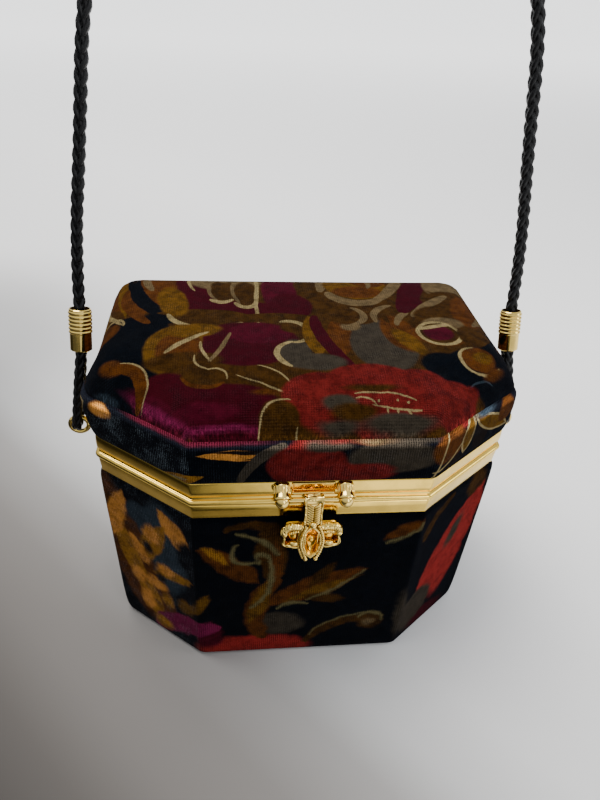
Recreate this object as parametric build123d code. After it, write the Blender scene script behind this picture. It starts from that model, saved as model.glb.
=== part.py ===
from build123d import *
import os
from math import cos, radians, sin, tan

os.makedirs("parts", exist_ok=True)

# Box purse: a stiff eight-sided case and lid covered in velvet, each held in a pressed brass frame.
# Millimetres, +Z up, front towards -Y, origin at the middle of the base it stands on.

# Plan of the frame: straight front, two front chamfers, straight sides and back
frame_width = 160.0
frame_depth = 107.0
front_width = 87.0
chamfer_depth = 28.5
front_corner_radius = 2.0
back_corner_radius = 9.0

# Heights
case_height = 86.0
case_band_height = 6.8
parting_gap = 0.35
lid_band_height = 10.45
lid_skirt_height = 18.0
lid_crown_rise = 14.5
crown_shares = [(0.0, 0.0), (1.2, 0.24), (3.5, 0.48), (8.0, 0.73), (16.0, 0.91), (30.0, 1.0)]

# Walls, from the outside in
brass = 0.9
velvet = 1.0
board = 2.0
lining = 0.6
inner_leg = 0.8
channel_depth = 5.0
case_taper = 2.0
case_padding = 0.6
lid_overhang = 1.3
crease_radius = 2.4
base_board = 2.4
lid_board_top = 2.0
padding_edge = 0.6
base_edge_radius = 2.2
band_lean = 0.7

# Bead rolled along the lid frame's lower edge
bead_radius = 1.25
bead_inset = 0.35

# Hinges at the back of the frame
hinge_spacing = 92.0
hinge_length = 24.0
hinge_knuckle_radius = 1.7
hinge_pin_radius = 0.8
hinge_pin_head = 0.8
hinge_clearance = 0.25
hinge_leaf_thickness = 0.8
hinge_leaf_height = 5.0
hinge_middle_knuckle = 9.4
hinge_end_gap = 0.3
pin_running_gap = 0.05

# Strap eyes, end loops and ferrules: the eye stands out from the side, below the case frame's top
eye_reach = 11.8
eye_y = 0.5
eye_drop = 3.2
eye_ring_radius = 3.7
eye_wire_radius = 1.0
eye_plate_length = 11.0
eye_plate_height = 5.8
eye_plate_corner = 1.8
eye_plate_thickness = 1.1
eye_neck_radius = 1.6
loop_cord_radius = 2.1
loop_gap = 0.35
loop_mouth_gap = 0.25
loop_knee_share = 0.35
ferrule_bottom_step = (-5.0, 2.0, 34.9)
ferrule_top_step = (-5.9, 5.9, 50.9)
ferrule_radius = 4.1
ferrule_wall = 0.5
ferrule_bead = 0.3
ferrule_edge = 0.3
ferrule_ridges = 6
ferrule_ridged_share = 0.55

# Strap cord, as steps from the right eye, and its top over the middle
cord_radius = 2.4
cord_steps = [
    (-7.4, 7.1, 74.4),
    (-13.5, 9.5, 111.4),
    (-20.2, 10.9, 156.4),
    (-32.3, 11.7, 182.4),
    (-55.8, 12.2, 201.4),
]
cord_top_step = (12.4, 208.4)

# Clasp on the middle of the front: its rod lies in front of the lid frame and below that frame's top
clasp_reach = 3.5
clasp_drop = 5.6
clasp_rod_radius = 0.8
clasp_running_gap = 0.08
stud_spacing = 22.8
stud_axis_tilt = 40.0
stud_ball_radius = 2.65
stud_ball_reach = 6.0
stud_collar_radius = 3.5
stud_root_drop = 1.3
stud_foot_radius = 3.0
stud_foot_height = 2.6
stud_foot_drop = 3.2
rod_end_inset = 1.8
clasp_plate_width = 15.0
clasp_plate_height = 4.4
clasp_plate_thickness = 0.9
clasp_plate_rim = 0.8
clasp_plate_drop = 0.4
clasp_lip_radius = 0.55
lever_barrel_radius = 2.0
lever_barrel_length = 7.0

# Lever: depths from the frame's front face, and heights down from the rod
lever_back_gap = 2.1
lever_front_reach = 6.9
lobe_front_reach = 6.5
stem_front_step = 1.7
stem_width = 7.0
stem_waist = 5.6
stem_foot_flare = 0.3
stem_waist_drop = 5.0
stem_length = 12.5
bow_ring_width = 9.8
bow_ring_top_drop = 10.0
bow_ring_length = 18.2
bow_wall = 1.5
bow_floor = 1.0
lobe_reach = 10.4
lobe_inner_end = 2.0
lobe_top_drop = 11.8
lobe_height = 10.2
lobe_wall = 1.2
lobe_corner_radius = 2.2
catch_radius = 2.4
catch_rise = 1.7
catch_drop = 3.4

# Worked out from the values above
half_depth = frame_depth / 2
case_frame_top = case_height + case_band_height
lid_frame_bottom = case_frame_top + parting_gap
lid_frame_top = lid_frame_bottom + lid_band_height
lid_crease = lid_frame_top + lid_skirt_height
bead_z = lid_frame_bottom + bead_radius
velvet_inset = brass + velvet
board_inset = velvet_inset + board
lining_inset = board_inset + lining
leg_inset = lining_inset + inner_leg
lid_board_height = lid_crease - velvet
hinge_y = half_depth + hinge_knuckle_radius + hinge_clearance
hinge_z = case_frame_top + parting_gap / 2
eye_x = frame_width / 2 + eye_reach
eye_z = case_frame_top - eye_drop
strap_steps = [ferrule_bottom_step, ferrule_top_step, *cord_steps]
ferrule_bottom, ferrule_top, *cord_route = [(eye_x + x, eye_y + y, eye_z + z) for x, y, z in strap_steps]
cord_top = (0.0, eye_y + cord_top_step[0], eye_z + cord_top_step[1])
clasp_axis_y = -half_depth - clasp_reach
clasp_axis_z = lid_frame_top - clasp_drop
lever_back_y = -half_depth - lever_back_gap
lever_front_y = -half_depth - lever_front_reach
lobe_front_y = -half_depth - lobe_front_reach
catch_z = case_frame_top - catch_drop


# One face of the purse's plan, moved in by a given inset and laid at a height
def plan(inset, z):
    half_width = frame_width / 2
    half_front = front_width / 2
    corners = [
        (-half_front, -half_depth),
        (half_front, -half_depth),
        (half_width, -half_depth + chamfer_depth),
        (half_width, half_depth),
        (-half_width, half_depth),
        (-half_width, -half_depth + chamfer_depth),
    ]
    face = make_face(Polyline(*corners, close=True))
    if inset:
        face = offset(face, -inset, kind=Kind.INTERSECTION)
    back = face.vertices().sort_by(Axis.Y)[-2:]
    face = fillet(back, max(back_corner_radius - inset, 1.0))
    front = [v for v in face.vertices() if v.Y < 0]
    face = fillet(front, max(front_corner_radius - inset, 0.6))
    return Pos(0, 0, z) * face


# A straight-walled solid of the plan between two heights
def prism(inset, bottom, top):
    return extrude(plan(inset, bottom), amount=top - bottom, dir=(0, 0, 1))


# A ring between two insets and two heights
def band(outer, inner, bottom, top):
    return prism(outer, bottom, top) - prism(inner, bottom - 1, top + 1)


# A solid through a list of (inset, height) sections with straight walls between them
def stack(*sections):
    return loft([plan(inset, z) for inset, z in sections], ruled=True)


# The case's wall leans in from the frame to the base by the taper
def case_wall(inset, bottom):
    lean = case_taper * (case_height - bottom) / case_height
    return stack((inset + lean, bottom), (inset, case_height))


# The case band's leaning outside, as one block
def case_band_block():
    return stack((band_lean, case_height), (0, case_frame_top))


def save(shape, name):
    shape.label = name
    export_step(shape, f"parts/{name}.step")
    return shape


def mirrored(shape):
    return mirror(shape, Plane.YZ)


# Case board: the stiff body, with its rim standing inside the frame's channel
def case_shell():
    outer = case_wall(velvet_inset, velvet) + prism(velvet_inset, case_height, case_frame_top - brass)
    hollow = case_wall(board_inset, velvet + base_board) + prism(board_inset, case_height, case_frame_top)
    return outer - hollow


# Case cover: padded velvet over walls and base, its thin edge tucked behind the frame
def case_cover():
    edge = velvet_inset - velvet - case_padding
    foot = edge + case_taper
    knee = foot - case_taper * base_edge_radius / case_height
    outer = stack(
        (foot + base_edge_radius, 0),
        (foot + 0.3 * base_edge_radius, 0.3 * base_edge_radius),
        (knee, base_edge_radius),
        (edge, case_height),
    )
    outer += prism(brass, case_height, case_frame_top - brass)
    return outer - case_wall(velvet_inset, velvet) - prism(velvet_inset, case_height, case_frame_top)


# Case lining: thin cloth on the inside walls and floor
def case_lining():
    floor = velvet + base_board
    outer = case_wall(board_inset, floor) + prism(board_inset, case_height, case_frame_top - brass)
    inner = case_wall(lining_inset, floor + lining) + prism(lining_inset, case_height, case_frame_top)
    return outer - inner


# Case frame: an upturned channel with a leaning face, closed over the rim
def case_frame():
    web = case_band_block() - prism(brass, case_height - 1, case_frame_top + 1)
    rim = band(brass, leg_inset, case_frame_top - brass, case_frame_top)
    leg = band(lining_inset, leg_inset, case_frame_top - channel_depth, case_frame_top)
    return web + rim + leg


# Lid board: skirt and top in one stiff tray, open downwards
def lid_shell():
    outer = prism(velvet_inset, lid_frame_bottom + brass, lid_board_height)
    hollow = prism(board_inset, lid_frame_bottom, lid_board_height - lid_board_top)
    return outer - hollow


# Sections of the lid's crown, each moved in from the crease and raised a share of the rise
def crown_sections(inset, drop):
    return [(inset + step, lid_crease + share * lid_crown_rise - drop) for step, share in crown_shares]


# Lid cover: velvet over skirt and crown, its edge tucked into the lid frame
def lid_cover():
    edge = -lid_overhang
    turn = crease_radius
    outer = stack(
        (edge, lid_frame_top),
        (edge, lid_crease - turn),
        (edge + 0.3 * turn, lid_crease - 0.3 * turn),
        *crown_sections(edge + turn, 0),
    )
    outer += prism(brass, lid_frame_bottom + brass, lid_frame_top)
    inner = prism(velvet_inset, lid_frame_bottom, lid_board_height)
    return outer - inner - padding_block()


# The wadding's block, under the crown and on the board
def padding_block():
    return stack((velvet_inset, lid_board_height), *crown_sections(velvet_inset + padding_edge, velvet)[1:])


# Lid padding: the wadding between board and velvet
def lid_padding():
    return padding_block()


# Lid lining: thin cloth inside the skirt and under the top
def lid_lining():
    ceiling = lid_board_height - lid_board_top
    outer = prism(board_inset, lid_frame_bottom + brass, ceiling)
    inner = prism(lining_inset, lid_frame_bottom, ceiling - lining)
    return outer - inner


# Lid frame: a channel opening upwards, with a bead rolled along its lower edge
def lid_frame():
    web = band(0, brass, lid_frame_bottom, lid_frame_top)
    floor = band(brass, leg_inset, lid_frame_bottom, lid_frame_bottom + brass)
    leg = band(lining_inset, leg_inset, lid_frame_bottom, lid_frame_bottom + channel_depth)
    frame = web + floor + leg + bead_ring()
    for side in (-1, 1):
        notch = Pos(side * hinge_spacing / 2, half_depth + 5, bead_z)
        frame -= notch * Box(hinge_length + 1, 10, 2 * bead_radius + 1)
    return frame


# The bead as an eight-sided roll round the frame's foot
def bead_ring():
    sides = [(-1.0, 0.42), (-0.42, 1.0), (0.42, 1.0), (1.0, 0.42)]
    roll = stack(*[(bead_inset - reach * bead_radius, bead_z + rise * bead_radius) for rise, reach in sides])
    return roll - prism(brass, lid_frame_bottom - 1, lid_frame_top)


# One knuckle of a hinge, along X between two places
def knuckle(x_a, x_b, radius=hinge_knuckle_radius):
    return Pos((x_a + x_b) / 2, hinge_y, hinge_z) * Rot(0, 90, 0) * Cylinder(radius, x_b - x_a)


# Leaf on the band's back face, with tabs that reach the barrel where it has knuckles
def hinge_leaf(side, upward):
    middle = side * hinge_spacing / 2
    reach = hinge_knuckle_radius + hinge_clearance
    half = hinge_length / 2
    inner = hinge_middle_knuckle / 2
    if upward:
        spans = [(middle - inner, middle + inner)]
    else:
        gap = hinge_end_gap
        spans = [(middle - half, middle - inner - gap), (middle + inner + gap, middle + half)]
    way = 1 if upward else -1
    y = half_depth + hinge_leaf_thickness / 2
    z = hinge_z + way * (reach + hinge_leaf_height / 2)
    leaf = Pos(middle, y, z) * Box(hinge_length, hinge_leaf_thickness, hinge_leaf_height)
    if not upward:
        leaf += Pos(middle, half_depth - band_lean / 2, z) * Box(hinge_length, band_lean, hinge_leaf_height)
        leaf -= case_band_block()
    for x_a, x_b in spans:
        tab = Box(x_b - x_a, hinge_leaf_thickness, reach + 0.2)
        leaf += Pos((x_a + x_b) / 2, y, hinge_z + way * reach / 2) * tab + knuckle(x_a, x_b)
    return leaf - knuckle(middle - half - 1, middle + half + 1, hinge_pin_radius + pin_running_gap)


# Hinge pin, with a low head at each end
def hinge_pin(side):
    middle = side * hinge_spacing / 2
    half = hinge_length / 2
    pin = knuckle(middle - half, middle + half, hinge_pin_radius)
    pin += knuckle(middle - half - hinge_pin_head, middle - half, hinge_pin_radius * 1.5)
    return pin + knuckle(middle + half, middle + half + hinge_pin_head, hinge_pin_radius * 1.5)


# Strap eye on the right: plate on the case band, neck and ring
def strap_eye():
    wall = frame_width / 2
    plate_depth = eye_plate_thickness + band_lean
    plate = Box(plate_depth, eye_plate_length, eye_plate_height)
    plate = Pos(wall - band_lean + plate_depth / 2, eye_y, eye_z) * plate
    plate = fillet(plate.edges().filter_by(Axis.X), eye_plate_corner)
    inner_end = eye_x - eye_ring_radius
    neck = Rot(0, 90, 0) * Cylinder(eye_neck_radius, inner_end - wall)
    neck = Pos((wall + inner_end) / 2, eye_y, eye_z) * neck
    ring = Pos(eye_x, eye_y, eye_z) * Rot(90, 0, 0) * Torus(eye_ring_radius, eye_wire_radius)
    return plate + neck + ring - case_band_block()


# Tube along straight runs joined by tangent arcs
def tube(points, radius, radii):
    path = FilletPolyline(*points, radius=radii)
    start = Vector(*points[0])
    heading = Vector(*points[1]) - start
    profile = Plane(origin=start, z_dir=heading) * Circle(radius)
    return sweep(profile, path=path), path


# The radius each corner of a route takes: 0.45 of the shorter run over the tangent of half the turn
def corner_radii(points, largest=None):
    radii = []
    for a, b, c in zip(points, points[1:], points[2:]):
        first = Vector(*b) - Vector(*a)
        second = Vector(*c) - Vector(*b)
        turn = first.get_angle(second)
        radius = 0.45 * min(first.length, second.length) / tan(radians(turn) / 2)
        radii.append(radius if largest is None else min(radius, largest))
    return radii


# End loop on the right: the cord runs through the eye and both legs rise into the ferrule
def strap_loop():
    bend = eye_wire_radius + loop_cord_radius + loop_gap
    bottom = Vector(*ferrule_bottom)
    turn_centre = Vector(eye_x, eye_y, eye_z + eye_ring_radius)
    rise = (bottom - turn_centre).length
    plane = Plane(origin=turn_centre, x_dir=(0, 1, 0), z_dir=(bottom - turn_centre))
    mouth = ferrule_radius - ferrule_wall - loop_cord_radius - loop_mouth_gap
    knee = rise * loop_knee_share
    legs = [
        ((-mouth, 0, rise), (-bend, 0, knee)),
        ((-bend, 0, knee), (-bend, 0, 0)),
        ((bend, 0, 0), (bend, 0, knee)),
        ((bend, 0, knee), (mouth, 0, rise)),
    ]
    pieces = []
    for a, b in legs:
        start = Vector(*a)
        run = Vector(*b) - start
        rod = Cylinder(loop_cord_radius, run.length, align=(Align.CENTER, Align.CENTER, Align.MIN))
        pieces.append(Plane(origin=start, z_dir=run) * rod)
    for x in (-bend, bend):
        pieces.append(Pos(x, 0, knee) * Sphere(loop_cord_radius))
    span = 4 * (bend + loop_cord_radius)
    upper_half = Pos(0, 0, span / 4) * Box(span, span, span / 2)
    pieces.append(Rot(90, 0, 0) * Torus(bend, loop_cord_radius) - upper_half)
    loop = pieces[0]
    for piece in pieces[1:]:
        loop += piece
    return plane * loop + ferrule_filling()


# The folded cord crimped inside the ferrule
def ferrule_filling():
    plane, length = ferrule_place()
    inner = ferrule_radius - ferrule_wall
    return plane * Cylinder(inner, length, align=(Align.CENTER, Align.CENTER, Align.MIN))


# Ferrule on the right: a brass tube with fine rolled ridges, crimped on the strap's folded end
def ferrule():
    plane, length = ferrule_place()
    inner = ferrule_radius - ferrule_wall
    pitch = length * ferrule_ridged_share / ferrule_ridges
    lip = ferrule_radius - ferrule_edge
    crest = ferrule_radius + ferrule_bead
    outline = [(inner, 0), (lip, 0), (ferrule_radius, ferrule_edge)]
    for step in range(ferrule_ridges, 0, -1):
        start = length - 2 * ferrule_edge - pitch * step
        outline += [(ferrule_radius, start), (crest, start + 0.3 * pitch)]
        outline += [(crest, start + 0.6 * pitch), (ferrule_radius, start + 0.9 * pitch)]
    outline += [(ferrule_radius, length - ferrule_edge), (lip, length), (inner, length)]
    face = Plane.XZ * make_face(Polyline(*outline, close=True))
    return plane * revolve(face, Axis.Z)


# Where the right ferrule stands, and how long it is
def ferrule_place():
    bottom = Vector(*ferrule_bottom)
    top = Vector(*ferrule_top)
    return Plane(origin=bottom, z_dir=top - bottom), (top - bottom).length


# Strap cord: one piece from the left ferrule over the top to the right one
def strap_points():
    right = [ferrule_top] + cord_route
    left = [(-x, y, z) for x, y, z in right]
    return left + [cord_top] + right[::-1]


def strap_cord():
    points = strap_points()
    radii = corner_radii(points)
    cord, path = tube(points, cord_radius, radii)
    cord = cord - ferrule_filling() - mirrored(ferrule_filling())
    print("cord radii", [round(r, 1) for r in radii])
    print("cord length", round(path.length, 1), "volume ratio",
          round(cord.volume / (3.14159265 * cord_radius ** 2 * path.length), 4))
    return cord


# Rod that the lever hangs from
def clasp_rod():
    rod = Cylinder(clasp_rod_radius, stud_spacing - 2 * rod_end_inset)
    return Pos(0, clasp_axis_y, clasp_axis_z) * Rot(0, 90, 0) * rod


# Stud on one side: collar with a flared cup, and the ball seated in it
def clasp_stud(side):
    r = stud_collar_radius
    profile = [
        (0, 0),
        (r, 0),
        (r, 1.0),
        (r - 0.6, 1.9),
        (r - 0.5, 3.0),
        (r - 0.1, 4.0),
        (r - 0.5, 4.4),
        (r - 1.1, 4.0),
        (0, 4.0),
    ]
    turned = revolve(Plane.XZ * make_face(Polyline(*profile, close=True)), Axis.Z)
    ball = Pos(0, 0, stud_ball_reach) * Sphere(stud_ball_radius)
    tilt = radians(stud_axis_tilt)
    x = side * stud_spacing / 2
    root = (x, -half_depth + 0.1, lid_frame_top - stud_root_drop)
    plane = Plane(origin=root, x_dir=(1, 0, 0), z_dir=(0, -cos(tilt), -sin(tilt)))
    foot = Rot(90, 0, 0) * Cylinder(stud_foot_radius, stud_foot_height)
    foot = Pos(x, -half_depth - stud_foot_height / 2, lid_frame_top - stud_foot_drop) * foot
    stud = plane * (turned + ball) + foot
    reach = 4 * (stud_ball_reach + stud_ball_radius)
    room = Pos(x, -half_depth - reach / 2, lid_frame_top - 0.1 - reach / 2) * Box(reach, reach, reach)
    return (stud & room) - clasp_rod()


# Plate between the studs: a shallow framed recess with a lip along its foot
def clasp_plate():
    z = lid_frame_top - clasp_plate_drop - clasp_plate_height / 2
    y = -half_depth - clasp_plate_thickness / 2
    plate = Pos(0, y, z) * Box(clasp_plate_width, clasp_plate_thickness, clasp_plate_height)
    recess_width = clasp_plate_width - 2 * clasp_plate_rim
    recess_height = clasp_plate_height - 2 * clasp_plate_rim
    recess = Box(recess_width, clasp_plate_thickness, recess_height)
    plate -= Pos(0, y - clasp_plate_thickness / 2, z) * recess
    lip = Rot(0, 90, 0) * Cylinder(clasp_lip_radius, clasp_plate_width)
    plate += Pos(0, -half_depth - clasp_lip_radius, z - clasp_plate_height / 2) * lip
    for side in (-1, 1):
        plate -= clasp_stud(side)
    return plate


# A pointed oval between two heights, as a face in the XZ plane
def pointed_oval(width, bottom, top):
    middle = (bottom + top) / 2
    right = ThreePointArc((0, bottom), (width / 2, middle), (0, top))
    left = ThreePointArc((0, top), (-width / 2, middle), (0, bottom))
    return make_face([right, left])


# Lay an XZ sketch at a depth and push it back towards +Y
def push(face, front_y, back_y):
    plane = Plane(origin=(0, front_y, 0), x_dir=(1, 0, 0), z_dir=(0, -1, 0))
    return extrude(plane * face, amount=-(back_y - front_y))


# Lever: barrel, stem and the bow with its two hollow lobes and pointed ring
def clasp_lever():
    barrel_place = Pos(0, clasp_axis_y, clasp_axis_z) * Rot(0, 90, 0)
    lever = barrel_place * Cylinder(lever_barrel_radius, lever_barrel_length)
    top = stem_width / 2
    waist = stem_waist / 2
    foot = waist + stem_foot_flare
    waist_z = clasp_axis_z - stem_waist_drop
    foot_z = clasp_axis_z - stem_length
    right = [(top, clasp_axis_z), (waist, waist_z), (foot, foot_z)]
    left = [(-x, z) for x, z in right]
    stem = make_face(Polyline(*right, *left[::-1], close=True))
    lever += push(stem, clasp_axis_y - stem_front_step, lever_back_y)
    width = lobe_reach - lobe_inner_end
    middle_z = clasp_axis_z - lobe_top_drop - lobe_height / 2
    for side in (-1, 1):
        middle = Pos(side * (lobe_reach + lobe_inner_end) / 2, middle_z)
        outer = middle * RectangleRounded(width, lobe_height, lobe_corner_radius)
        inner = middle * RectangleRounded(
            width - 2 * lobe_wall, lobe_height - 2 * lobe_wall, lobe_corner_radius - lobe_wall
        )
        hollow = push(inner, lobe_front_y - 1, lever_back_y - bow_floor)
        lever += push(outer, lobe_front_y, lever_back_y) - hollow
    ring_top = clasp_axis_z - bow_ring_top_drop
    ring_bottom = ring_top - bow_ring_length
    lever += push(pointed_oval(bow_ring_width, ring_bottom, ring_top), lever_front_y, lever_back_y)
    cavity = pointed_oval(bow_ring_width - 2 * bow_wall, ring_bottom + 2 * bow_wall, ring_top - 2 * bow_wall)
    lever -= push(cavity, lever_front_y - 1, lever_back_y - bow_floor)
    hole = Cylinder(clasp_rod_radius + clasp_running_gap, lever_barrel_length + 2)
    return lever - barrel_place * hole


# Catch: a low dome on the case band, behind the lever
def clasp_catch():
    foot_y = -half_depth + band_lean * (case_frame_top - catch_z) / case_band_height
    bulge = (catch_radius ** 2 + catch_rise ** 2) / (2 * catch_rise)
    ball = Pos(0, foot_y - catch_rise + bulge, catch_z) * Sphere(bulge)
    room = Box(4 * catch_radius, catch_rise + 2, 2 * catch_radius + 1)
    return (ball & Pos(0, foot_y - catch_rise / 2, catch_z) * room) - case_band_block()


shapes = {
    "case_shell": case_shell(),
    "case_cover": case_cover(),
    "case_lining": case_lining(),
    "case_frame": case_frame(),
    "clasp_catch": clasp_catch(),
    "lid_shell": lid_shell(),
    "lid_padding": lid_padding(),
    "lid_cover": lid_cover(),
    "lid_lining": lid_lining(),
    "lid_frame": lid_frame(),
    "clasp_plate": clasp_plate(),
    "clasp_rod": clasp_rod(),
    "clasp_lever": clasp_lever(),
    "strap_cord": strap_cord(),
}
for side, name in ((-1, "left"), (1, "right")):
    shapes[f"clasp_stud_{name}"] = clasp_stud(side)
    shapes[f"hinge_case_leaf_{name}"] = hinge_leaf(side, False)
    shapes[f"hinge_lid_leaf_{name}"] = hinge_leaf(side, True)
    shapes[f"hinge_pin_{name}"] = hinge_pin(side)

right_side = {"strap_eye": strap_eye(), "strap_loop": strap_loop(), "strap_ferrule": ferrule()}
for name, shape in right_side.items():
    shapes[f"{name}_right"] = shape
    shapes[f"{name}_left"] = mirrored(shape)

for name, shape in shapes.items():
    save(shape, name)
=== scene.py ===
import math

import bmesh
import bpy
import numpy as np
from mathutils import Matrix, Vector


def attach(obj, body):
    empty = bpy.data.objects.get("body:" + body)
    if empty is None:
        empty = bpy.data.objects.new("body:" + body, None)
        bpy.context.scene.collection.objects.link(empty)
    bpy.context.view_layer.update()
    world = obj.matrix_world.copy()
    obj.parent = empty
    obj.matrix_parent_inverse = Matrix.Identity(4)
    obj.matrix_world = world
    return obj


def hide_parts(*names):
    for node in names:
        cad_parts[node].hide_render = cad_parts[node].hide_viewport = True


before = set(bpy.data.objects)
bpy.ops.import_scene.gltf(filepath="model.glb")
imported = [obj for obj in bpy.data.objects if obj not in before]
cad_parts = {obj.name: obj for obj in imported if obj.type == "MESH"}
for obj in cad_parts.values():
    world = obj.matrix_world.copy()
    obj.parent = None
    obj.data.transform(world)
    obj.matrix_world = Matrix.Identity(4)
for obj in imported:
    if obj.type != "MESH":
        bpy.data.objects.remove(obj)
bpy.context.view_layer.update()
MM = 0.001
FULL_TURN = 2 * math.pi

# Plan of the purse, in millimetres: its corners, the radius of each and the steps of the sides between them
HALF_FRONT = 43.5
HALF_WIDTH = 80.0
FRONT_Y = -53.5
CHAMFER_END_Y = -25.0
BACK_Y = 53.5
CORNERS = [
    (-HALF_FRONT, FRONT_Y), (HALF_FRONT, FRONT_Y), (HALF_WIDTH, CHAMFER_END_Y),
    (HALF_WIDTH, BACK_Y), (-HALF_WIDTH, BACK_Y), (-HALF_WIDTH, CHAMFER_END_Y),
]
CORNER_RADII = [2.0, 2.0, 2.0, 9.0, 9.0, 2.0]
SIDE_STEPS = [24, 12, 20, 40, 20, 12]
BACK_SIDE = 3

# Distance round the plan: a chamfer's length per millimetre across, and the count that holds behind BACK_FROM
CHAMFER_STRETCH = 1.268
BACK_FROM = 50.0
BACK_COUNT = 171.3

# Heights
CASE_FRAME_BOTTOM = 86.0
CASE_FRAME_TOP = 92.8
LID_FRAME_BOTTOM = 93.15
LID_FRAME_TOP = 103.6
LID_CREASE = 121.6

# Crown of the lid: how far in it starts, its rise by the distance in, and its swell at the sides and the back
CROWN_EDGE = 1.1
CROWN_RISE = 14.5
CROWN_SHARES = [(0.0, 0.0), (1.2, 0.24), (3.5, 0.48), (8.0, 0.73), (16.0, 0.91), (30.0, 1.0)]
CROWN_SWELL = 3.2
CROWN_MIDDLE_Y = 5.0

# Extra radius of each corner in the velvet
LID_SOFT = [2.0, 2.0, 6.0, 0.0, 0.0, 6.0]
CASE_SOFT = [5.0, 5.0, 7.0, 2.0, 2.0, 7.0]

# Velvet: pitches of its threads and ribs, colour of its painted highlights of lit pile, and top of the lit
# lip at each side
WARP_PITCH = 0.86
WEFT_PITCH = 0.64
RIB_PITCH = 0.70
PILE_HIGHLIGHT_COLOUR = (0.11, 0.14, 0.165)
LIP_TOP_LEFT = 128.2
LIP_TOP_RIGHT = 125.2

# Hinge, strap and clasp places
HINGE_X = 46.0
HINGE_HALF = 12.5
EYE = (91.8, 0.5, 89.6)
EYE_RING = 3.7
FERRULE_BOTTOM = (86.8, 2.5, 124.5)
FERRULE_TOP = (85.9, 6.4, 140.5)
CORD_RADIUS = 2.4
LOOP_RADIUS = 2.1
LOOP_BEND = 3.45
BRAID_LEAD = 19.6
CORD_ROUTE = [
    (84.4, 7.6, 164.0), (78.3, 10.0, 201.0), (71.6, 11.4, 246.0), (59.5, 12.2, 272.0), (36.0, 12.7, 291.0),
]
CORD_TOP = (0.0, 12.9, 298.0)
CLASP_AXIS = (0.0, -57.0, 98.0)
LEVER_BACK = -55.6
STUD_X = 11.4


# Geometry helpers
def unit(v):
    return v / np.linalg.norm(v)


def link_new(name, data):
    """A new object of the scene that shows the data."""
    obj = bpy.data.objects.new(name, data)
    bpy.context.scene.collection.objects.link(obj)
    return obj


def new_mesh(name, verts, faces):
    """A mesh object from millimetre points."""
    mesh = bpy.data.meshes.new(name)
    mesh.from_pydata([tuple(float(c) * MM for c in v) for v in verts], [], [tuple(f) for f in faces])
    mesh.update()
    return link_new(name, mesh)


def make_piece(name, verts, faces, material, body, replaces):
    """A mesh from millimetre points that rides on a body and replaces CAD nodes."""
    obj = new_mesh(name, verts, faces)
    obj.data.shade_smooth()
    obj.data.materials.append(material)
    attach(obj, body)
    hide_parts(*replaces)
    return obj


def fix_normals(obj, sharp):
    """Point all normals outwards, and keep edges over an angle in degrees crisp."""
    bm = bmesh.new()
    bm.from_mesh(obj.data)
    bmesh.ops.remove_doubles(bm, verts=bm.verts, dist=1e-7)
    bmesh.ops.recalc_face_normals(bm, faces=bm.faces)
    bm.to_mesh(obj.data)
    bm.free()
    obj.data.set_sharp_from_angle(angle=math.radians(sharp))


def outline(grow, soften=0.0, stops=None):
    """The plan grown by a distance, as the same count of points for every distance."""
    base = np.array(CORNERS)
    count = len(base)
    soften = np.broadcast_to(soften, (count,))
    normals = []
    for i in range(count):
        run = unit(base[(i + 1) % count] - base[i])
        normals.append(np.array([run[1], -run[0]]))
    corners = []
    for i in range(count):
        before, after = normals[i - 1], normals[i]
        bisector = unit(before + after)
        corners.append(base[i] + bisector * grow / np.dot(bisector, after))
    arcs = []
    for i, corner in enumerate(corners):
        a = unit(corners[i - 1] - corner)
        b = unit(corners[(i + 1) % count] - corner)
        half = math.acos(np.clip(np.dot(a, b), -1, 1)) / 2
        radius = max(CORNER_RADII[i] + grow, 0.6) + soften[i]
        centre = corner + unit(a + b) * radius / math.sin(half)
        start = corner + a * radius / math.tan(half) - centre
        end = corner + b * radius / math.tan(half) - centre
        first = math.atan2(start[1], start[0])
        turn = (math.atan2(end[1], end[0]) - first) % FULL_TURN
        steps = 9 if CORNER_RADII[i] > 5 else 5
        angles = [first + turn * k / steps for k in range(steps + 1)]
        arcs.append([centre + radius * np.array([math.cos(t), math.sin(t)]) for t in angles])
    points = []
    for i, arc in enumerate(arcs):
        points += arc
        a, b = arc[-1], arcs[(i + 1) % count][0]
        if i == BACK_SIDE and stops is not None:
            points += [np.array([x, a[1]]) for x in stops]
            continue
        points += [a + (b - a) * k / SIDE_STEPS[i] for k in range(1, SIDE_STEPS[i])]
    return np.array(points)


def ring_faces(rings, count, closed=False):
    """Quads between successive rings of the same count."""
    faces = []
    for r in range(rings if closed else rings - 1):
        a, b = r * count, ((r + 1) % rings) * count
        for k in range(count):
            n = (k + 1) % count
            faces.append((a + k, a + n, b + n, b + k))
    return faces


def shifted(faces, start):
    """Faces whose points come later by a count."""
    return [tuple(start + i for i in face) for face in faces]


def swept_frame(name, profile, body, replaces, flat_at_hinges=False):
    """A closed profile of (grow, z) points carried round the plan, with stops beside the hinges."""
    near, far = HINGE_X - HINGE_HALF, HINGE_X + HINGE_HALF
    stops = [66.0, far, far - 0.05, 52.0, 46.0, 40.0, near + 0.05, near, 22.0, 11.0, 0.0]
    stops += [-x for x in stops[-2::-1]]
    verts = []
    for grow, z in profile:
        ring = outline(grow, stops=stops)
        for x, y in ring:
            at_hinge = y > BACK_FROM and abs(abs(x) - HINGE_X) < HINGE_HALF - 0.02
            if flat_at_hinges and grow > 0 and at_hinge:
                y = min(y, BACK_Y)
            verts.append((x, y, z))
    faces = ring_faces(len(profile), len(ring), closed=True)
    obj = make_piece(name, verts, faces, FRAME_BRASS, body, replaces)
    fix_normals(obj, 35)


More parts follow.
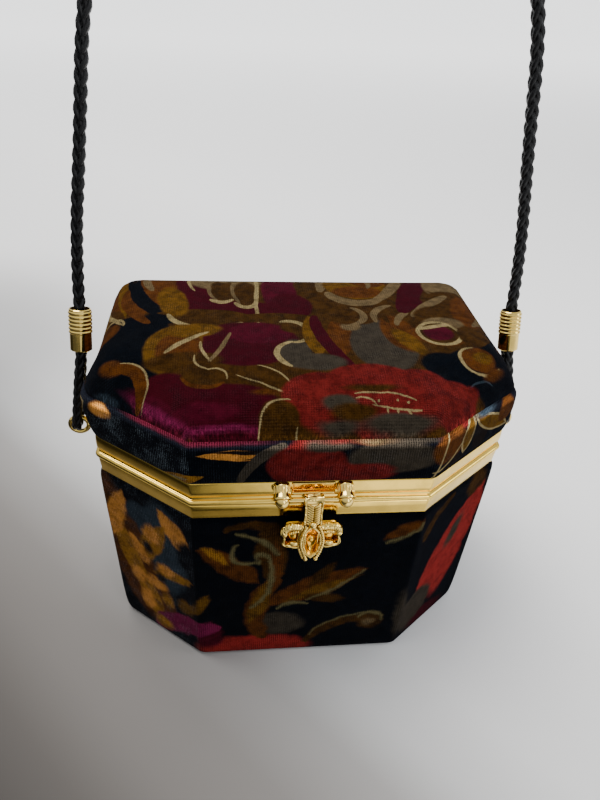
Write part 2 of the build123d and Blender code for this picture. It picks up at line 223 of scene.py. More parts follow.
def arc_points(centre, radius, start, end, steps):
    """Points of an arc in (grow, z), angles in degrees."""
    angles = [math.radians(start + (end - start) * k / steps) for k in range(steps + 1)]
    return [(centre[0] + radius * math.cos(t), centre[1] + radius * math.sin(t)) for t in angles]


# Shader helpers
class Shader:
    """A material's node tree, with short calls for the nodes this scene uses."""

    def __init__(self, name, **values):
        self.material = bpy.data.materials.new(name)
        self.material.use_nodes = True
        self.tree = self.material.node_tree
        self.shader = self.tree.nodes["Principled BSDF"]
        for key, value in values.items():
            self.shader.inputs[key.replace("_", " ")].default_value = value

    def node(self, kind, *inputs, output=0, **settings):
        made = self.tree.nodes.new(kind)
        for key, value in settings.items():
            setattr(made, key, value)
        for index, value in enumerate(inputs):
            self.put(made.inputs[index], value)
        return made.outputs[output]

    def put(self, socket, value):
        if value is None:
            return
        if isinstance(value, bpy.types.NodeSocket):
            self.tree.links.new(value, socket)
        else:
            socket.default_value = value

    def put_named(self, node, **values):
        for label, value in values.items():
            self.put(node.inputs[label], value)

    def math(self, operation, *inputs, clamp=False):
        return self.node("ShaderNodeMath", *inputs, operation=operation, use_clamp=clamp)

    def times(self, a, b):
        return self.math("MULTIPLY", a, b)

    def plus(self, a, b):
        return self.math("ADD", a, b)

    def minus(self, a, b):
        return self.math("SUBTRACT", a, b)

    def scaled(self, a, by):
        return self.vector("MULTIPLY", a, (by, by, by))

    def vector(self, operation, *inputs):
        output = 1 if operation in ("LENGTH", "DOT_PRODUCT", "DISTANCE") else 0
        return self.node("ShaderNodeVectorMath", *inputs, operation=operation, output=output)

    def mix(self, factor, a, b):
        unused = [None] * 5
        return self.node("ShaderNodeMix", factor, *unused, a, b, output=2, data_type="RGBA")

    def ramp(self, value, low, high, to_low=0.0, to_high=1.0):
        values = (value, low, high, to_low, to_high)
        return self.node("ShaderNodeMapRange", *values, interpolation_type="SMOOTHSTEP")

    def noise(self, vector, scale, detail=2.0, roughness=0.5, colour=False):
        made = self.tree.nodes.new("ShaderNodeTexNoise")
        self.put_named(made, Vector=vector, Scale=scale, Detail=detail, Roughness=roughness)
        return made.outputs[1 if colour else 0]

    def parts(self, vector):
        """The x, y and z of a vector."""
        made = self.tree.nodes.new("ShaderNodeSeparateXYZ")
        self.put(made.inputs[0], vector)
        return made.outputs

    def object_mm(self):
        """Object coordinates in millimetres."""
        return self.scaled(self.node("ShaderNodeTexCoord", output=3), 1000.0)

    def bump(self, height, distance, strength):
        made = self.tree.nodes.new("ShaderNodeBump")
        self.put_named(made, Strength=strength, Distance=distance, Height=height)
        return made.outputs[0]

    def set(self, name, value):
        self.put(self.shader.inputs[name], value)


# Inks of the velvet: red, green and blue, and the share of them that is left in its dark patches
INKS = {
    "navy": (0.0012, 0.0022, 0.0038, 0.62),
    "plum": (0.0280, 0.0018, 0.0044, 0.75),
    "magenta": (0.0420, 0.0026, 0.0080, 0.62),
    "red": (0.0960, 0.0085, 0.0075, 0.42),
    "brown": (0.0360, 0.0156, 0.0028, 0.40),
    "rust": (0.0620, 0.0200, 0.0036, 0.45),
    "amber": (0.0850, 0.0400, 0.0045, 0.42),
    "gold": (0.2100, 0.1600, 0.0720, 0.45),
    "tan": (0.0950, 0.0650, 0.0300, 0.50),
    "taupe": (0.0290, 0.0235, 0.0165, 0.60),
    "scarlet": (0.1900, 0.0150, 0.0130, 0.60),
    "honey": (0.2100, 0.0950, 0.0100, 0.40),
    "orange": (0.4000, 0.1650, 0.0300, 0.50),
    "fuchsia": (0.1100, 0.0070, 0.0360, 0.62),
    "olive": (0.0850, 0.0720, 0.0300, 0.62),
    "grey": (0.0170, 0.0260, 0.0350, 0.62),
    "dark": (0.0060, 0.0040, 0.0028, 0.62),
}


def dimmed(colour, share):
    """A colour times a share, with full alpha."""
    return tuple(c * share for c in colour[:3]) + (1,)


# Painted shapes
def blob_distance(made, local, source, long, wide):
    """Distance outside an ellipse, near enough."""
    far = made.vector("LENGTH", made.vector("DIVIDE", local, source["Size"]))
    return made.times(made.minus(far, 1.0), made.math("MINIMUM", long, wide))


def leaf_distance(made, local, long, wide):
    """Distance outside the lens shape of two arcs."""
    squares = made.plus(made.times(long, long), made.times(wide, wide))
    radius = made.math("DIVIDE", squares, made.times(wide, 2.0))
    shift = made.node("ShaderNodeCombineXYZ", None, made.minus(radius, wide))
    near = made.vector("ADD", made.vector("ABSOLUTE", local), shift)
    return made.minus(made.vector("LENGTH", near), radius)


def arc_distance(made, local, facing, source, long, wide):
    """Distance outside a bent stroke that grows thinner towards its ends."""
    room = made.minus(1.0, source["Reach"])
    share = made.math("DIVIDE", made.minus(facing, source["Reach"]), room, clamp=True)
    width = made.times(wide, made.math("POWER", share, 0.35))
    return made.minus(made.math("ABSOLUTE", made.minus(made.vector("LENGTH", local), long)), width)


def shape_group(kind):
    """A node group that paints one shape, with a cord along its edge, over a ground colour."""
    name = "shape_" + kind
    if name in bpy.data.node_groups:
        return bpy.data.node_groups[name]
    group = bpy.data.node_groups.new(name, "ShaderNodeTree")
    sockets = {"Vector": ("Vector", "Centre", "Size"), "Float": ("Angle", "Edge", "Reach", "Blur"),
               "Color": ("Ground", "Fill", "Cord")}
    for socket, labels in sockets.items():
        for label in labels:
            group.interface.new_socket(label, in_out="INPUT", socket_type="NodeSocket" + socket)
    group.interface.new_socket("Colour", in_out="OUTPUT", socket_type="NodeSocketColor")
    made = Shader.__new__(Shader)
    made.tree = group
    source = group.nodes.new("NodeGroupInput").outputs
    turned = group.nodes.new("ShaderNodeVectorRotate")
    turned.rotation_type = "Z_AXIS"
    from_centre = made.vector("SUBTRACT", source["Vector"], source["Centre"])
    made.put_named(turned, Vector=from_centre, Angle=made.times(source["Angle"], -1.0))
    local = turned.outputs[0]
    long, wide, _ = made.parts(source["Size"])
    if kind == "blob":
        distance = blob_distance(made, local, source, long, wide)
    elif kind == "leaf":
        distance = leaf_distance(made, local, long, wide)
    else:
        facing = made.vector("DOT_PRODUCT", made.vector("NORMALIZE", local), (1.0, 0.0, 0.0))
        distance = arc_distance(made, local, facing, source, long, wide)
    inside = made.ramp(distance, source["Blur"], made.times(source["Blur"], -1.0))
    if kind == "arc":
        inside = made.times(inside, made.math("GREATER_THAN", facing, source["Reach"]))
    painted = made.mix(inside, source["Ground"], source["Fill"])
    rim = made.minus(made.math("ABSOLUTE", distance), made.times(source["Edge"], 0.5))
    band = made.times(made.ramp(rim, 0.1, -0.1), made.math("GREATER_THAN", source["Edge"], 0.01))
    out = group.nodes.new("NodeGroupOutput")
    made.put(out.inputs[0], made.mix(band, painted, source["Cord"]))
    return group


def bow(ink, x1, y1, x2, y2, x3, y3, width):
    """A stroke bent as the circle through three points, thinner towards its ends."""
    bend = 2 * ((x2 - x1) * (y3 - y1) - (y2 - y1) * (x3 - x1))
    if abs(bend) < 0.5:
        x2, y2 = x2 + 0.02 * (y3 - y1), y2 - 0.02 * (x3 - x1)
        bend = 2 * ((x2 - x1) * (y3 - y1) - (y2 - y1) * (x3 - x1))
    a = x2 * x2 + y2 * y2 - x1 * x1 - y1 * y1
    b = x3 * x3 + y3 * y3 - x1 * x1 - y1 * y1
    x = (a * (y3 - y1) - b * (y2 - y1)) / bend
    y = (b * (x2 - x1) - a * (x3 - x1)) / bend
    radius = math.hypot(x1 - x, y1 - y)
    first, last = math.atan2(y1 - y, x1 - x), math.atan2(y3 - y, x3 - x)
    turn = (last - first) % FULL_TURN
    middle = (math.atan2(y2 - y, x2 - x) - first) % FULL_TURN
    if middle > turn:
        first, turn = last, FULL_TURN - turn
    return "arc", ink, x, y, radius, width / 2, math.degrees(first + turn / 2), 0.0, math.degrees(turn / 2)


def paint(shader, vector, ground, shapes, inks, blur):
    """Shapes painted in order over a ground: (kind, ink, x, y, two sizes, degrees, edge, half reach)."""
    colour = inks[ground]
    for shape in shapes:
        if shape[0] == "bow":
            shape = bow(*shape[1:])
        kind, ink, x, y, long, wide, *rest = shape
        degrees, edge, half = rest + [0.0, 0.0, 180.0][len(rest):]
        softer = 0.5 if kind == "blob" and not edge else 0.0
        made = shader.tree.nodes.new("ShaderNodeGroup")
        made.node_tree = shape_group(kind)
        shader.put_named(
            made, Vector=vector, Centre=(x, y, 0), Size=(long, wide, 1), Angle=math.radians(degrees),
            Edge=edge, Reach=math.cos(math.radians(half)) - 0.001, Blur=blur + softer,
            Ground=colour, Fill=inks[ink], Cord=inks["gold"],
        )
        colour = made.outputs[0]
    return colour


def around_coordinates(shader, place):
    """(distance round the plan from the middle of the front, height) from object coordinates in mm."""
    x, y, z = shader.parts(place)
    across = shader.math("ABSOLUTE", x)
    front = shader.math("MINIMUM", across, HALF_FRONT)
    slanted = shader.math("MAXIMUM", shader.minus(across, HALF_FRONT), 0.0)
    deep = shader.math("MAXIMUM", shader.plus(y, -CHAMFER_END_Y), 0.0)
    total = shader.plus(shader.plus(front, shader.times(slanted, CHAMFER_STRETCH)), deep)
    behind = shader.minus(shader.plus(deep, BACK_COUNT), across)
    at_back = shader.math("GREATER_THAN", y, BACK_FROM)
    total = shader.plus(total, shader.times(at_back, shader.minus(behind, total)))
    return shader.node("ShaderNodeCombineXYZ", shader.times(total, shader.math("SIGN", x)), z), z


def round_plan(x, y):
    """Distance round the plan from the middle of the front, as in around_coordinates."""
    across = abs(x)
    deep = max(y - CHAMFER_END_Y, 0.0)
    total = min(across, HALF_FRONT) + CHAMFER_STRETCH * max(across - HALF_FRONT, 0.0) + deep
    if y > BACK_FROM:
        total = BACK_COUNT - across + deep
    return math.copysign(total, x)


# Velvet
def mottled_inks(s, place, names):
    """The named inks as colours that darken in patches."""
    mottle = s.ramp(s.noise(place, 0.22, 4.0, 0.75), 0.30, 0.66)
    inks = {}
    for name in sorted(names):
        ink = INKS[name]
        inks[name] = s.mix(mottle, dimmed(ink, ink[3]), dimmed(ink, 1))
    return inks


def centred_noise(s, place, scale, detail, roughness):
    """Noise in three channels, about zero."""
    return s.vector("SUBTRACT", s.noise(place, scale, detail, roughness, colour=True), (0.5, 0.5, 0.5))


def weave_height(s, surface, top):
    """Height of the weave, from its two sets of threads."""
    across, along, _ = s.parts(surface)
    warp = s.math("SINE", s.times(across, FULL_TURN / WARP_PITCH))
    weft = s.math("SINE", s.times(along, FULL_TURN / WEFT_PITCH))
    return s.plus(s.times(warp, 0.17 if top else 0.34), s.times(weft, 0.22 if top else 0.12))


def speckled(s, colour, place, grain, specks):
    """A colour with painted highlights of lit pile in spots, and painted shade in dark spots between them."""
    drift = s.times(s.minus(s.noise(place, 0.16, 3.0, 0.6), 0.5), 2.0)
    lit = s.ramp(s.plus(grain, drift), 0.15, 0.95)
    pile_shade = s.ramp(s.minus(grain, drift), 0.15, -0.65)
    brighter = s.vector("ADD", s.scaled(colour, 1.7), tuple(c * specks for c in PILE_HIGHLIGHT_COLOUR))
    shade = s.mix(s.times(lit, 0.75), colour, brighter)
    return s.mix(s.times(pile_shade, 0.5), shade, (0.0015, 0.0012, 0.0012, 1))


def ribbed(s, shade, place, height, near):
    """Dark ribs where the velvet is near the lid's crease."""
    ribs = s.ramp(s.math("SINE", s.times(height, FULL_TURN / RIB_PITCH)), 0.1, -0.9)
    near = s.times(near, s.ramp(s.noise(place, 0.5, 2.0), 0.3, 0.6))
    return s.mix(s.times(s.times(ribs, near), 0.6), shade, (0.003, 0.002, 0.003, 1))


def lit_lip(s, shade, colour, place, height, lip_top):
    """Light on the crown's edge, in streaks."""
    streaks = s.ramp(s.noise(s.vector("MULTIPLY", place, (1.0, 0.25, 0.25)), 1.6, 3.0, 0.7), 0.42, 0.68)
    lip = s.times(s.ramp(height, lip_top, LID_CREASE), streaks)
    return s.mix(s.times(lip, 0.65), shade, s.scaled(colour, 4.5))


def lit_turn(s, shade, colour, grain, height):
    """Light on the turn of the skirt under the crease."""
    turn = s.times(s.ramp(height, LID_CREASE - 3.0, LID_CREASE - 1.2), s.ramp(grain, -0.5, 0.3))
    pale = s.vector("ADD", s.scaled(colour, 6.0), (0.008, 0.005, 0.006))
    return s.mix(s.times(turn, 0.8), shade, pale)


def velvet(name, fields, ground, part, specks, lip_top):
    """Patterned velvet of the top, skirt or case: painted fields under weave, pile and lit turns."""
    s = Shader(name, Roughness=0.9, Sheen_Weight=0.02, Sheen_Roughness=0.45, Specular_IOR_Level=0.0)
    s.shader.inputs["Sheen Tint"].default_value = (0.9, 0.82, 0.9, 1)
    place = s.object_mm()
    around, height = around_coordinates(s, place)
    surface = place if part == "top" else around
    fray = centred_noise(s, place, 1.1, 3.0, 0.6)
    offset = s.vector("ADD", s.scaled(centred_noise(s, place, 0.07, 2.0, 0.5), 2.2), s.scaled(fray, 0.6))
    laid = s.vector("ADD", surface, offset)
    if part == "case":
        laid = s.vector("ADD", laid, s.scaled(centred_noise(s, place, 0.14, 3.0, 0.6), 4.5))
    inks = mottled_inks(s, place, {ground, "gold"} | {shape[1] for shape in fields})
    flat = s.vector("MULTIPLY", laid, (1, 1, 0))
    colour = paint(s, flat, ground, fields, inks, 1.0 if part == "case" else 0.2)
    weave = weave_height(s, s.vector("ADD", surface, s.scaled(fray, 0.5)), part == "top")
    pile = s.noise(s.vector("MULTIPLY", place, (1.0, 1.0, 0.7)), 3.0, 3.0, 0.75)
    grain = s.plus(weave, s.times(s.minus(pile, 0.5), 2.4))
    shade = speckled(s, colour, place, grain, specks)
    if part == "top":
        shade = ribbed(s, shade, place, height, s.ramp(height, LID_CREASE + 4.4, LID_CREASE + 1.0))
        shade = lit_lip(s, shade, colour, place, height, lip_top)
    elif part == "skirt":
        shade = ribbed(s, shade, place, height, s.ramp(height, LID_CREASE - 3.4, LID_CREASE - 1.0))
        shade = lit_turn(s, shade, colour, grain, height)
    s.set("Base Color", shade)
    s.set("Normal", s.bump(s.plus(s.times(weave, 0.5), s.times(pile, 1.6)), 0.00022, 0.8))
    return s.material


def shape_extent(shape):
    """Lowest and highest place a shape reaches, as (low x, low y, high x, high y)."""
    if shape[0] == "bow":
        _, _, x1, y1, x2, y2, x3, y3, width = shape
        bulge = 0.6 * math.hypot(x3 - x1, y3 - y1) + width
        xs, ys = (x1, x2, x3), (y1, y2, y3)
        return min(xs) - bulge, min(ys) - bulge, max(xs) + bulge, max(ys) + bulge
    _, _, x, y, long, wide, *_ = shape
    size = max(long, wide) + 1.0
    return x - size, y - size, x + size, y + size


def pile_highlight_strength(part, left_chamfer):
    """How bright the painted highlights of lit pile are, which show most on the left chamfer, where the light
    falls.
    """
    if part == "top":
        return 0.04
    if part == "skirt":
        return 0.9 if left_chamfer else 0.10
    return 0.35 if left_chamfer else 0.02


def zone_velvets(part, shapes, ground, columns, rows):
    """One velvet for each zone of a grid, painted only with the shapes that come near that zone."""
    margin = 9.0
    zones = []
    for row in range(len(rows) - 1):
        for column in range(len(columns) - 1):
            left, right = columns[column], columns[column + 1]
            near = []
            for shape in shapes:
                low_x, low_y, high_x, high_y = shape_extent(shape)
                across = low_x < right + margin and high_x > left - margin
                along = low_y < rows[row + 1] + margin and high_y > rows[row] - margin
                if across and along:
                    near.append(shape)
            specks = pile_highlight_strength(part, left == LEFT_CHAMFER_FROM)
            lip_top = LIP_TOP_LEFT if right < 0 else LIP_TOP_RIGHT
            zones.append(velvet(f"velvet_{part}_{row}{column}", near, ground, part, specks, lip_top))
    return zones


def zone_of(x, y, columns, rows):
    """The number of the zone a place lies in."""
    column = min(max(np.searchsorted(columns, x) - 1, 0), len(columns) - 2)
    row = min(max(np.searchsorted(rows, y) - 1, 0), len(rows) - 2)
    return int(row * (len(columns) - 1) + column)


# Other materials
def brass(name, crevice_shade=False, tint=(0.90, 0.61, 0.115, 1)):
    """Polished gold-coloured brass with faint rubbed patches and fine scratches, and painted shade in its
    crevices where asked for.
    """
    s = Shader(name, Metallic=1.0, Roughness=0.2)
    place = s.object_mm()
    patches = s.noise(place, 0.12, 3.0, 0.6)
    scratches = s.noise(s.vector("MULTIPLY", place, (0.35, 0.35, 6.0)), 1.0, 2.0)
    colour = s.mix(s.ramp(patches, 0.35, 0.7), tint, dimmed(tint, 0.80))
    if crevice_shade:
        # Painted shade: darker brown where ambient occlusion finds crevices
        shadow = s.tree.nodes.new("ShaderNodeAmbientOcclusion")
        shadow.samples = 6
        shadow.inputs["Distance"].default_value = 0.0012
        colour = s.mix(s.ramp(shadow.outputs[1], 0.10, 0.65), (0.34, 0.17, 0.03, 1), colour)
    s.set("Base Color", colour)
    rough = s.plus(s.times(patches, 0.10), s.times(scratches, 0.08))
    s.set("Roughness", s.plus(rough, 0.04))
    s.set("Normal", s.bump(s.plus(scratches, s.times(patches, 2.0)), 0.00002, 0.35))
    return s.material


def cord_material():
    """Glossy black cord: fine twisted threads along each strand."""
    s = Shader("cord_black", Roughness=0.36, Sheen_Weight=0.03, Sheen_Roughness=0.3, Specular_IOR_Level=0.22)
    place = s.object_mm()
    fibre = s.noise(s.vector("MULTIPLY", place, (1.0, 1.0, 0.4)), 4.5, 2.0, 0.6)
    lit = s.ramp(fibre, 0.35, 0.75)
    s.set("Base Color", s.mix(lit, (0.0012, 0.0012, 0.0015, 1), (0.007, 0.007, 0.008, 1)))
    s.set("Roughness", s.ramp(fibre, 0.3, 0.8, 0.26, 0.5))
    s.set("Normal", s.bump(fibre, 0.00015, 0.8))
    return s.material


def lining_material():
    """Plain black satin, with a faint fine weave."""
    s = Shader("lining_satin", Roughness=0.45, Sheen_Weight=0.2, Sheen_Roughness=0.4)
    place = s.object_mm()
    x, _, z = s.parts(place)
    threads = s.math("SINE", s.times(s.plus(x, z), 12.0))
    folds_and_shade = s.noise(place, 0.08, 2.0)
    # The same folds paint shade into the colour: darker and lighter patches
    s.set("Base Color", s.mix(folds_and_shade, (0.010, 0.009, 0.011, 1), (0.028, 0.024, 0.028, 1)))
    s.set("Normal", s.bump(s.plus(threads, s.times(folds_and_shade, 8.0)), 0.00006, 0.6))
    return s.material


def plain_material(name, colour, roughness):
    """A plain hidden material with a little grain."""
    s = Shader(name, Roughness=roughness)
    grain = s.noise(s.object_mm(), 0.8, 4.0)
    s.set("Base Color", s.mix(grain, colour, dimmed(colour, 0.7)))
    s.set("Normal", s.bump(grain, 0.0001, 0.5))
    return s.material


# The pattern
def read_shapes(text):
    """Shapes from lines of kind, ink and numbers, painted in order.

    A blob or leaf has x, y and two half sizes, and may have its turn in degrees and the width of a cord
    along its edge. A bow has three points along a stroke and the stroke's width.
    """
    made = []
    for line in text.strip().splitlines():
        if not line.startswith("#"):
            kind, ink, *numbers = line.split()
            made.append((kind, ink, *(float(number) for number in numbers)))
    return made


def side_motifs(height, rise, leaf, tilt, spot):
    """Leaves and spots that take turns round the right side, the back and the left side."""
    made = []
    for side in (-1, 1):
        for number in range(9):
            place = side * (105 + 16.5 * number)
            up = rise if number % 4 < 2 else -rise
            if number % 2 == 0:
                ink = "brown" if number % 4 else "amber"
                turn = side * (tilt if number % 4 else 180 - tilt)
                made.append(("leaf", ink, place, height + up, *leaf, turn, 0.9))
            else:
                ink = ("plum", "red", "magenta", "taupe")[number // 2]
                made.append(("blob", ink, place, height - 1.6 * up, *spot))
    return made


# Lid top, in plan millimetres
# Magenta and fuchsia strips along the crease: painted sheen
# Pale strips along the front crease: painted sheen
LID_TOP = read_shapes("""
# Left side: navy, with rust and amber strips behind
blob navy -71 -8 15 16
blob navy -72 -30 15 13
blob navy -62 -26 8 8
blob navy 76 -16 12 15
blob navy 64 -26 14 10
blob navy -64 -6 13 15
leaf rust -70 40 34 12 100
leaf rust -58 40 30 7 95
leaf amber -74 38 30 3 98
bow navy -70 52 -65 24 -50 2 6.5
blob navy -56 6 6 5 -45
bow dark -70 52 -69 46 -70 40 3
bow tan -64 52 -64 42 -61 31 3.6
bow rust -72 34 -70 20 -60 2 5
blob rust -77 .5 6 6.5
bow gold -82 1 -76 9.5 -70 2 1.5
blob navy -83 38 3.5 7
blob tan -82 27 4 4.5
bow gold -79 27 -76 14 -70.5 3 1.5
blob amber -81 14 4 7
# Plum behind the middle, tan columns with scalloped feet
blob plum -42 22 10 16 15
blob plum -44 42 8 14
blob magenta -8 34 8 24
blob plum -24 12 18 8
blob plum -4 16 9 12
blob tan -31 42 16 11
bow gold -46 50 -46 38 -43.5 30 1.5
blob brown -32 32 5 12.5
bow tan -37.5 38 -37.2 28 -34 20 1.6
blob brown -22.5 28 4.6 14
bow tan -27.4 40 -27.6 28 -25 17 1.6
bow gold -37 22 -32 19.2 -28 22 2.6
bow gold -27 19 -22 14.8 -18.5 21 2.8
bow gold -17 51 -17.5 40 -18 22 1.8
blob tan -31 46 3 6
# Brown band across, with the broad pale stroke before it
leaf brown -38 8 20 5 -5
leaf brown -12 6 18 4 2
blob amber -52 20 6 14 10
bow gold -53.5 9 -49.5 2.5 -43 -.5 2.6
bow gold -48 1 -38 -2.2 -24 2 3.2
# Middle plum and the brown plant in front of it
blob plum -23 -13 20 15
blob magenta -18 -6 12 8
blob amber -50 -14 10 15 -20
blob rust -48 -16 8 11 -20
blob amber -42 -4 10 5 10
blob brown -46 -24 14 5
# Plum along the front
blob plum -44 -42 18 9 -8
blob plum -52 -36 9 7
blob plum -30 -46 18 9
blob magenta -40 -47 14 3
blob magenta -54.5 -40.9 12 2 -38
blob fuchsia -54 -42.4 12 .9 -38
blob fuchsia -34 -51.2 12 .5
blob brown -38 -32 8 6.5
bow rust -46 -32 -40 -38 -31 -36 1.6
leaf brown -26 -33.5 13 3.2 -12
leaf brown -14.5 -35.5 9.5 4.2 -38
blob rust -17 -40.5 4.4 1.1
# Pale strokes in the left half
bow gold -53 -19 -46 -11.5 -37 -5 2.2
bow gold -40 -12 -39 -19 -36 -25 1.3
bow tan -37 -25 -32.5 -17 -29 -6 1.9
bow gold -42 -21 -40.5 -27 -36 -29.8 .85
bow gold -37 -29.9 -32 -30.2 -30.2 -35 .8
bow gold -19.5 -27.8 -13 -31 -8.6 -37 .8
bow gold -21 -35.8 -15 -38.6 -9.5 -41 .7
blob taupe -5 -20 6 9
blob brown -4 -2 5.5 4.5
bow gold -10 2.5 -2.5 1.5 .6 -6 2.4
bow gold .6 -6 -1 -11.5 -6.5 -12.6 1.9
bow gold -5.5 -12.4 -11.6 -19 -7 -28.3 2.3
# Scroll at the left
blob rust -70.8 -23.8 4.6 2.7 -20
bow rust -71 -25 -62.4 -27.5 -61.5 -38 5
bow gold -68 -22.8 -58.6 -29 -60.2 -38.8 .75
blob grey -74 -33 8 3.2 -38
# Right half: brown columns, plum slit and taupe
leaf amber 3 -8 16 4.5 92
leaf rust 13 -8 15 5 88
bow plum 5 8 6.5 -12 15 -28 5.4
blob taupe 29 -14 13 18
blob taupe 3 -26 10 5
blob rust 37 -6 7 14 10
blob amber 39 -12 4 10 25
blob tan 18 -1 4 3.4
# Behind on the right: amber panel in a pale cup
blob brown 5 38 6 15
bow tan 11 53 11.5 42 10 30 5
blob amber 26 38 14 15
blob rust 33 44 8 9
blob rust 26 30 11 6
bow tan 13 30 21 20 35 24 6
bow tan 31 21 41 32 47 52 5.5
bow gold 16 52 32 52.6 50 52 2
bow tan 34 48 33 40 31 34 2.4
blob brown 20 8 11 8
bow tan 20 15 24.5 7 17 0 3
bow tan 38 17 30 11 29 2 3.2
bow brown 34 12 33 7 34 2 2.4
bow tan 44 11 39 6 37 0 3
bow plum 62 56 52 36 43 14 10.5
blob plum 47 20 6 6 30
# Behind on the far right
blob tan 68 38 11 16 -10
blob brown 66 24 12 9 20
bow brown 58 33 66 27 78 50 2.2
blob rust 71 16 7 16 -15
bow tan 79 32 76 14 69 2 3.4
bow tan 64 27 55 18 46 9 4.6
blob brown 54 11 9 5 25
# Eye in its loop
blob tan 56 2 9 5 10
blob rust 53 -6 10.5 9
blob brown 53 -5.5 8.6 8.2 0 1.7
blob magenta 52.6 -5.6 6.2 5.6
bow gold 46 -2.5 51 -1 57 .5 2.6
blob brown 67 -7 7 8
leaf rust 80 -2 14 3 68
bow navy 79 6 75 -8 67 -16 2.6
# Navy and the ring at the front right
blob navy 50 -27 9.5 7.5
blob navy 62 -32 12 3.6 24
blob rust 64 -21.5 6.8 6.4
blob amber 66 -21 4 3
bow gold 63.5 -15.2 56.8 -22 62 -28.6 1.4
bow gold 60.5 -28.3 66 -28.6 72 -24.5 1.2
bow grey 57 -35.2 61 -32 68 -31 .7
# Red along the front, with dark hatching and thin squiggles
blob red 2 -42 14 10
blob red 20 -40 18 13
blob red 38 -41 14 11
blob red 48 -42 12 8 20
blob red 56 -37.5 5 2.8 30
blob brown 20 -39.2 9 1.5
blob taupe 8 -44.6 6 2.6
blob brown 13 -47.5 8 2.6
blob taupe 29 -50.4 13 2.2
blob taupe 8 -50.8 7 1.4
bow gold 13.4 -41.4 19 -40.8 24.5 -41.6 .65
bow gold 23 -41.2 30 -42.2 35 -44.6 .65
bow gold 13.4 -43.2 18 -43 21.2 -45.8 .6
bow gold 19.5 -45.2 27 -46.9 36.4 -47.4 .65
blob gold 28.6 -44.3 .35 .3 0 .2
blob gold 32.2 -45.1 .35 .3 0 .2
blob gold 21.8 -44.2 .3 .3 0 .2
blob gold 28 -47.6 .3 .6 0 .2
blob gold 24.6 -47.2 .25 .8 0 .2
blob gold 32.2 -48 .6 .25 -30 .2
# Brown curl over the front crease
blob brown -13 -50 7 6.6
bow gold -19.6 -53 -17.5 -46 -9 -43.4 .7
bow gold -6.6 -51 -7.4 -54 -9 -57 .7
blob rust 69 -27.5 5 1.6 30
""")

# Lid skirt: distance round the plan from the middle of the front, and height
# Magenta bands on the turn under the crease: painted sheen
# Pale lines along the front crease: painted sheen
LID_SIDES = read_shapes("""
blob navy -34 110 9 6.5
leaf orange -27 117 14 2.2 -1
leaf dark -24 118.2 12 .9 -2
leaf dark -16 116.2 9 .7 6
blob magenta -33 122 14 1.1
blob magenta -58 122.2 15 1.3
blob orange -84.5 118.6 5.2 2.4
leaf honey -47.5 105.4 9.5 2.3 15
leaf gold -49 105 5 .8 15
bow taupe -26 104 -22 113 -10 121 4
blob red -3 112 14 10
blob red 8 108 20 5
blob taupe 27 115 16 7
blob red 18 109.5 10 3.2
blob taupe 4 120 8 2.2
blob red 14 121.6 10 .8
blob tan 20 121.4 6 .7
blob taupe 34 121.3 8 .7
blob red 56 121.4 9 1
blob navy 38 107 4 2.2 20
blob rust 50 116 9 6.5
blob dark 52 107.5 7 2.6
bow gold 42 104 45.5 112 47.5 123 .9
bow gold 42 107.5 50 109 57 115 1
leaf amber 60.5 116 7 3.2 75 .9
blob dark 69 113 5 7
leaf amber 76 115.5 13 3.4 -27 .9
blob rust 85 117 5 5
blob grey 70 121.5 6 1.2
""")

# Case walls: distance round the plan from the middle of the front, and height
# Painted sheen on the navy ground
# The grey patches are the navy ground with painted sheen, where the left chamfer catches the light
CASE_SIDES = read_shapes("""
# Front
blob scarlet -20 4 24 8
blob taupe -10 20 11 8
blob magenta -39 14 6 9
leaf amber -43 34 8 3 60
bow rust -16 10 -20 30 -10 50 9
leaf rust -30 59 16 5.4 136
leaf honey -35 65 7 2 130
leaf brown -14 65 18 6 96
leaf rust -12 60 13 2.6 92
leaf rust 4 44 23 6.4 27
leaf amber 7 42.5 17 2.4 26
leaf brown 7 51 9 3.2 58
leaf brown 9 37 9 3 -8
leaf amber -18 36 15 3.6 74
bow brown -32 79 -18 82 -6 74 4
bow olive -27 77 -18 73 -11 64 2.3
bow olive -26 71 -23 60 -18 62.5 2.1
bow olive -20 62 -16.4 65 -15 60 2.2
bow olive -15.2 62 -13.6 48 -22 32 2.2
bow olive -12 30 -6 34 2 33 1.8
bow olive 1 36 13 43 24 54 1.3
bow brown 2 6 14 18 29 23 5.5
bow olive 4 11 14 21 27 25.5 1
blob brown 30 20 5.6 5.4
bow olive 25 22 31 25.4 34.6 19 1.6
blob tan 29 19 2.4 2.2
leaf rust 37 77 9 3.4 42
bow olive 30 69 37 72 43 82 1.4
blob taupe 43.5 24 3.2 14
# Left chamfer
blob grey -60 58 13 26
blob rust -80 46 13 40 14
blob rust -66 24 9 18 30
leaf orange -53 72 12.5 5.2 128
leaf honey -66 58 17 5 62
leaf honey -79 44 24 5.5 112
leaf orange -84 66 16 5 74
leaf honey -56 44 11 3.5 20
leaf honey -70 22 18 5.5 112
blob grey -72 72 7 6
blob orange -60 45 5 3.4 10
blob orange -66 64 4 5
leaf orange -74 50 9 3.4 120
blob orange -66 33 5.6 4.2
blob orange -76 32 4.4 5.4
blob orange -72 18 4.4 6.4
blob honey -60 25 3.6 4.4
blob dark -69 54 2.2 3.6 20
blob dark -63 38 2.4 3 20
bow fuchsia -68 2 -54 14 -34 19 11.5
blob honey -64 7 5 3.4
blob amber -50 28 4 4.4
blob navy -47 62 5 9
# Right chamfer
leaf scarlet 70 44 38 13 64
blob scarlet 74 40 9 26 -14
blob navy 52 66 11 22 -14
bow brown 64 84 56 80 48 66 5
blob brown 80 80 7 7
blob taupe 72 56 3.4 9 -26
blob taupe 54 18 10 13 -20
blob plum 64 6 12 4
""")
LID_SIDES += side_motifs(112.5, 0.6, (13, 4.2), 27, (8, 6))
CASE_SIDES += side_motifs(44, 10, (25, 7), 68, (11, 12))

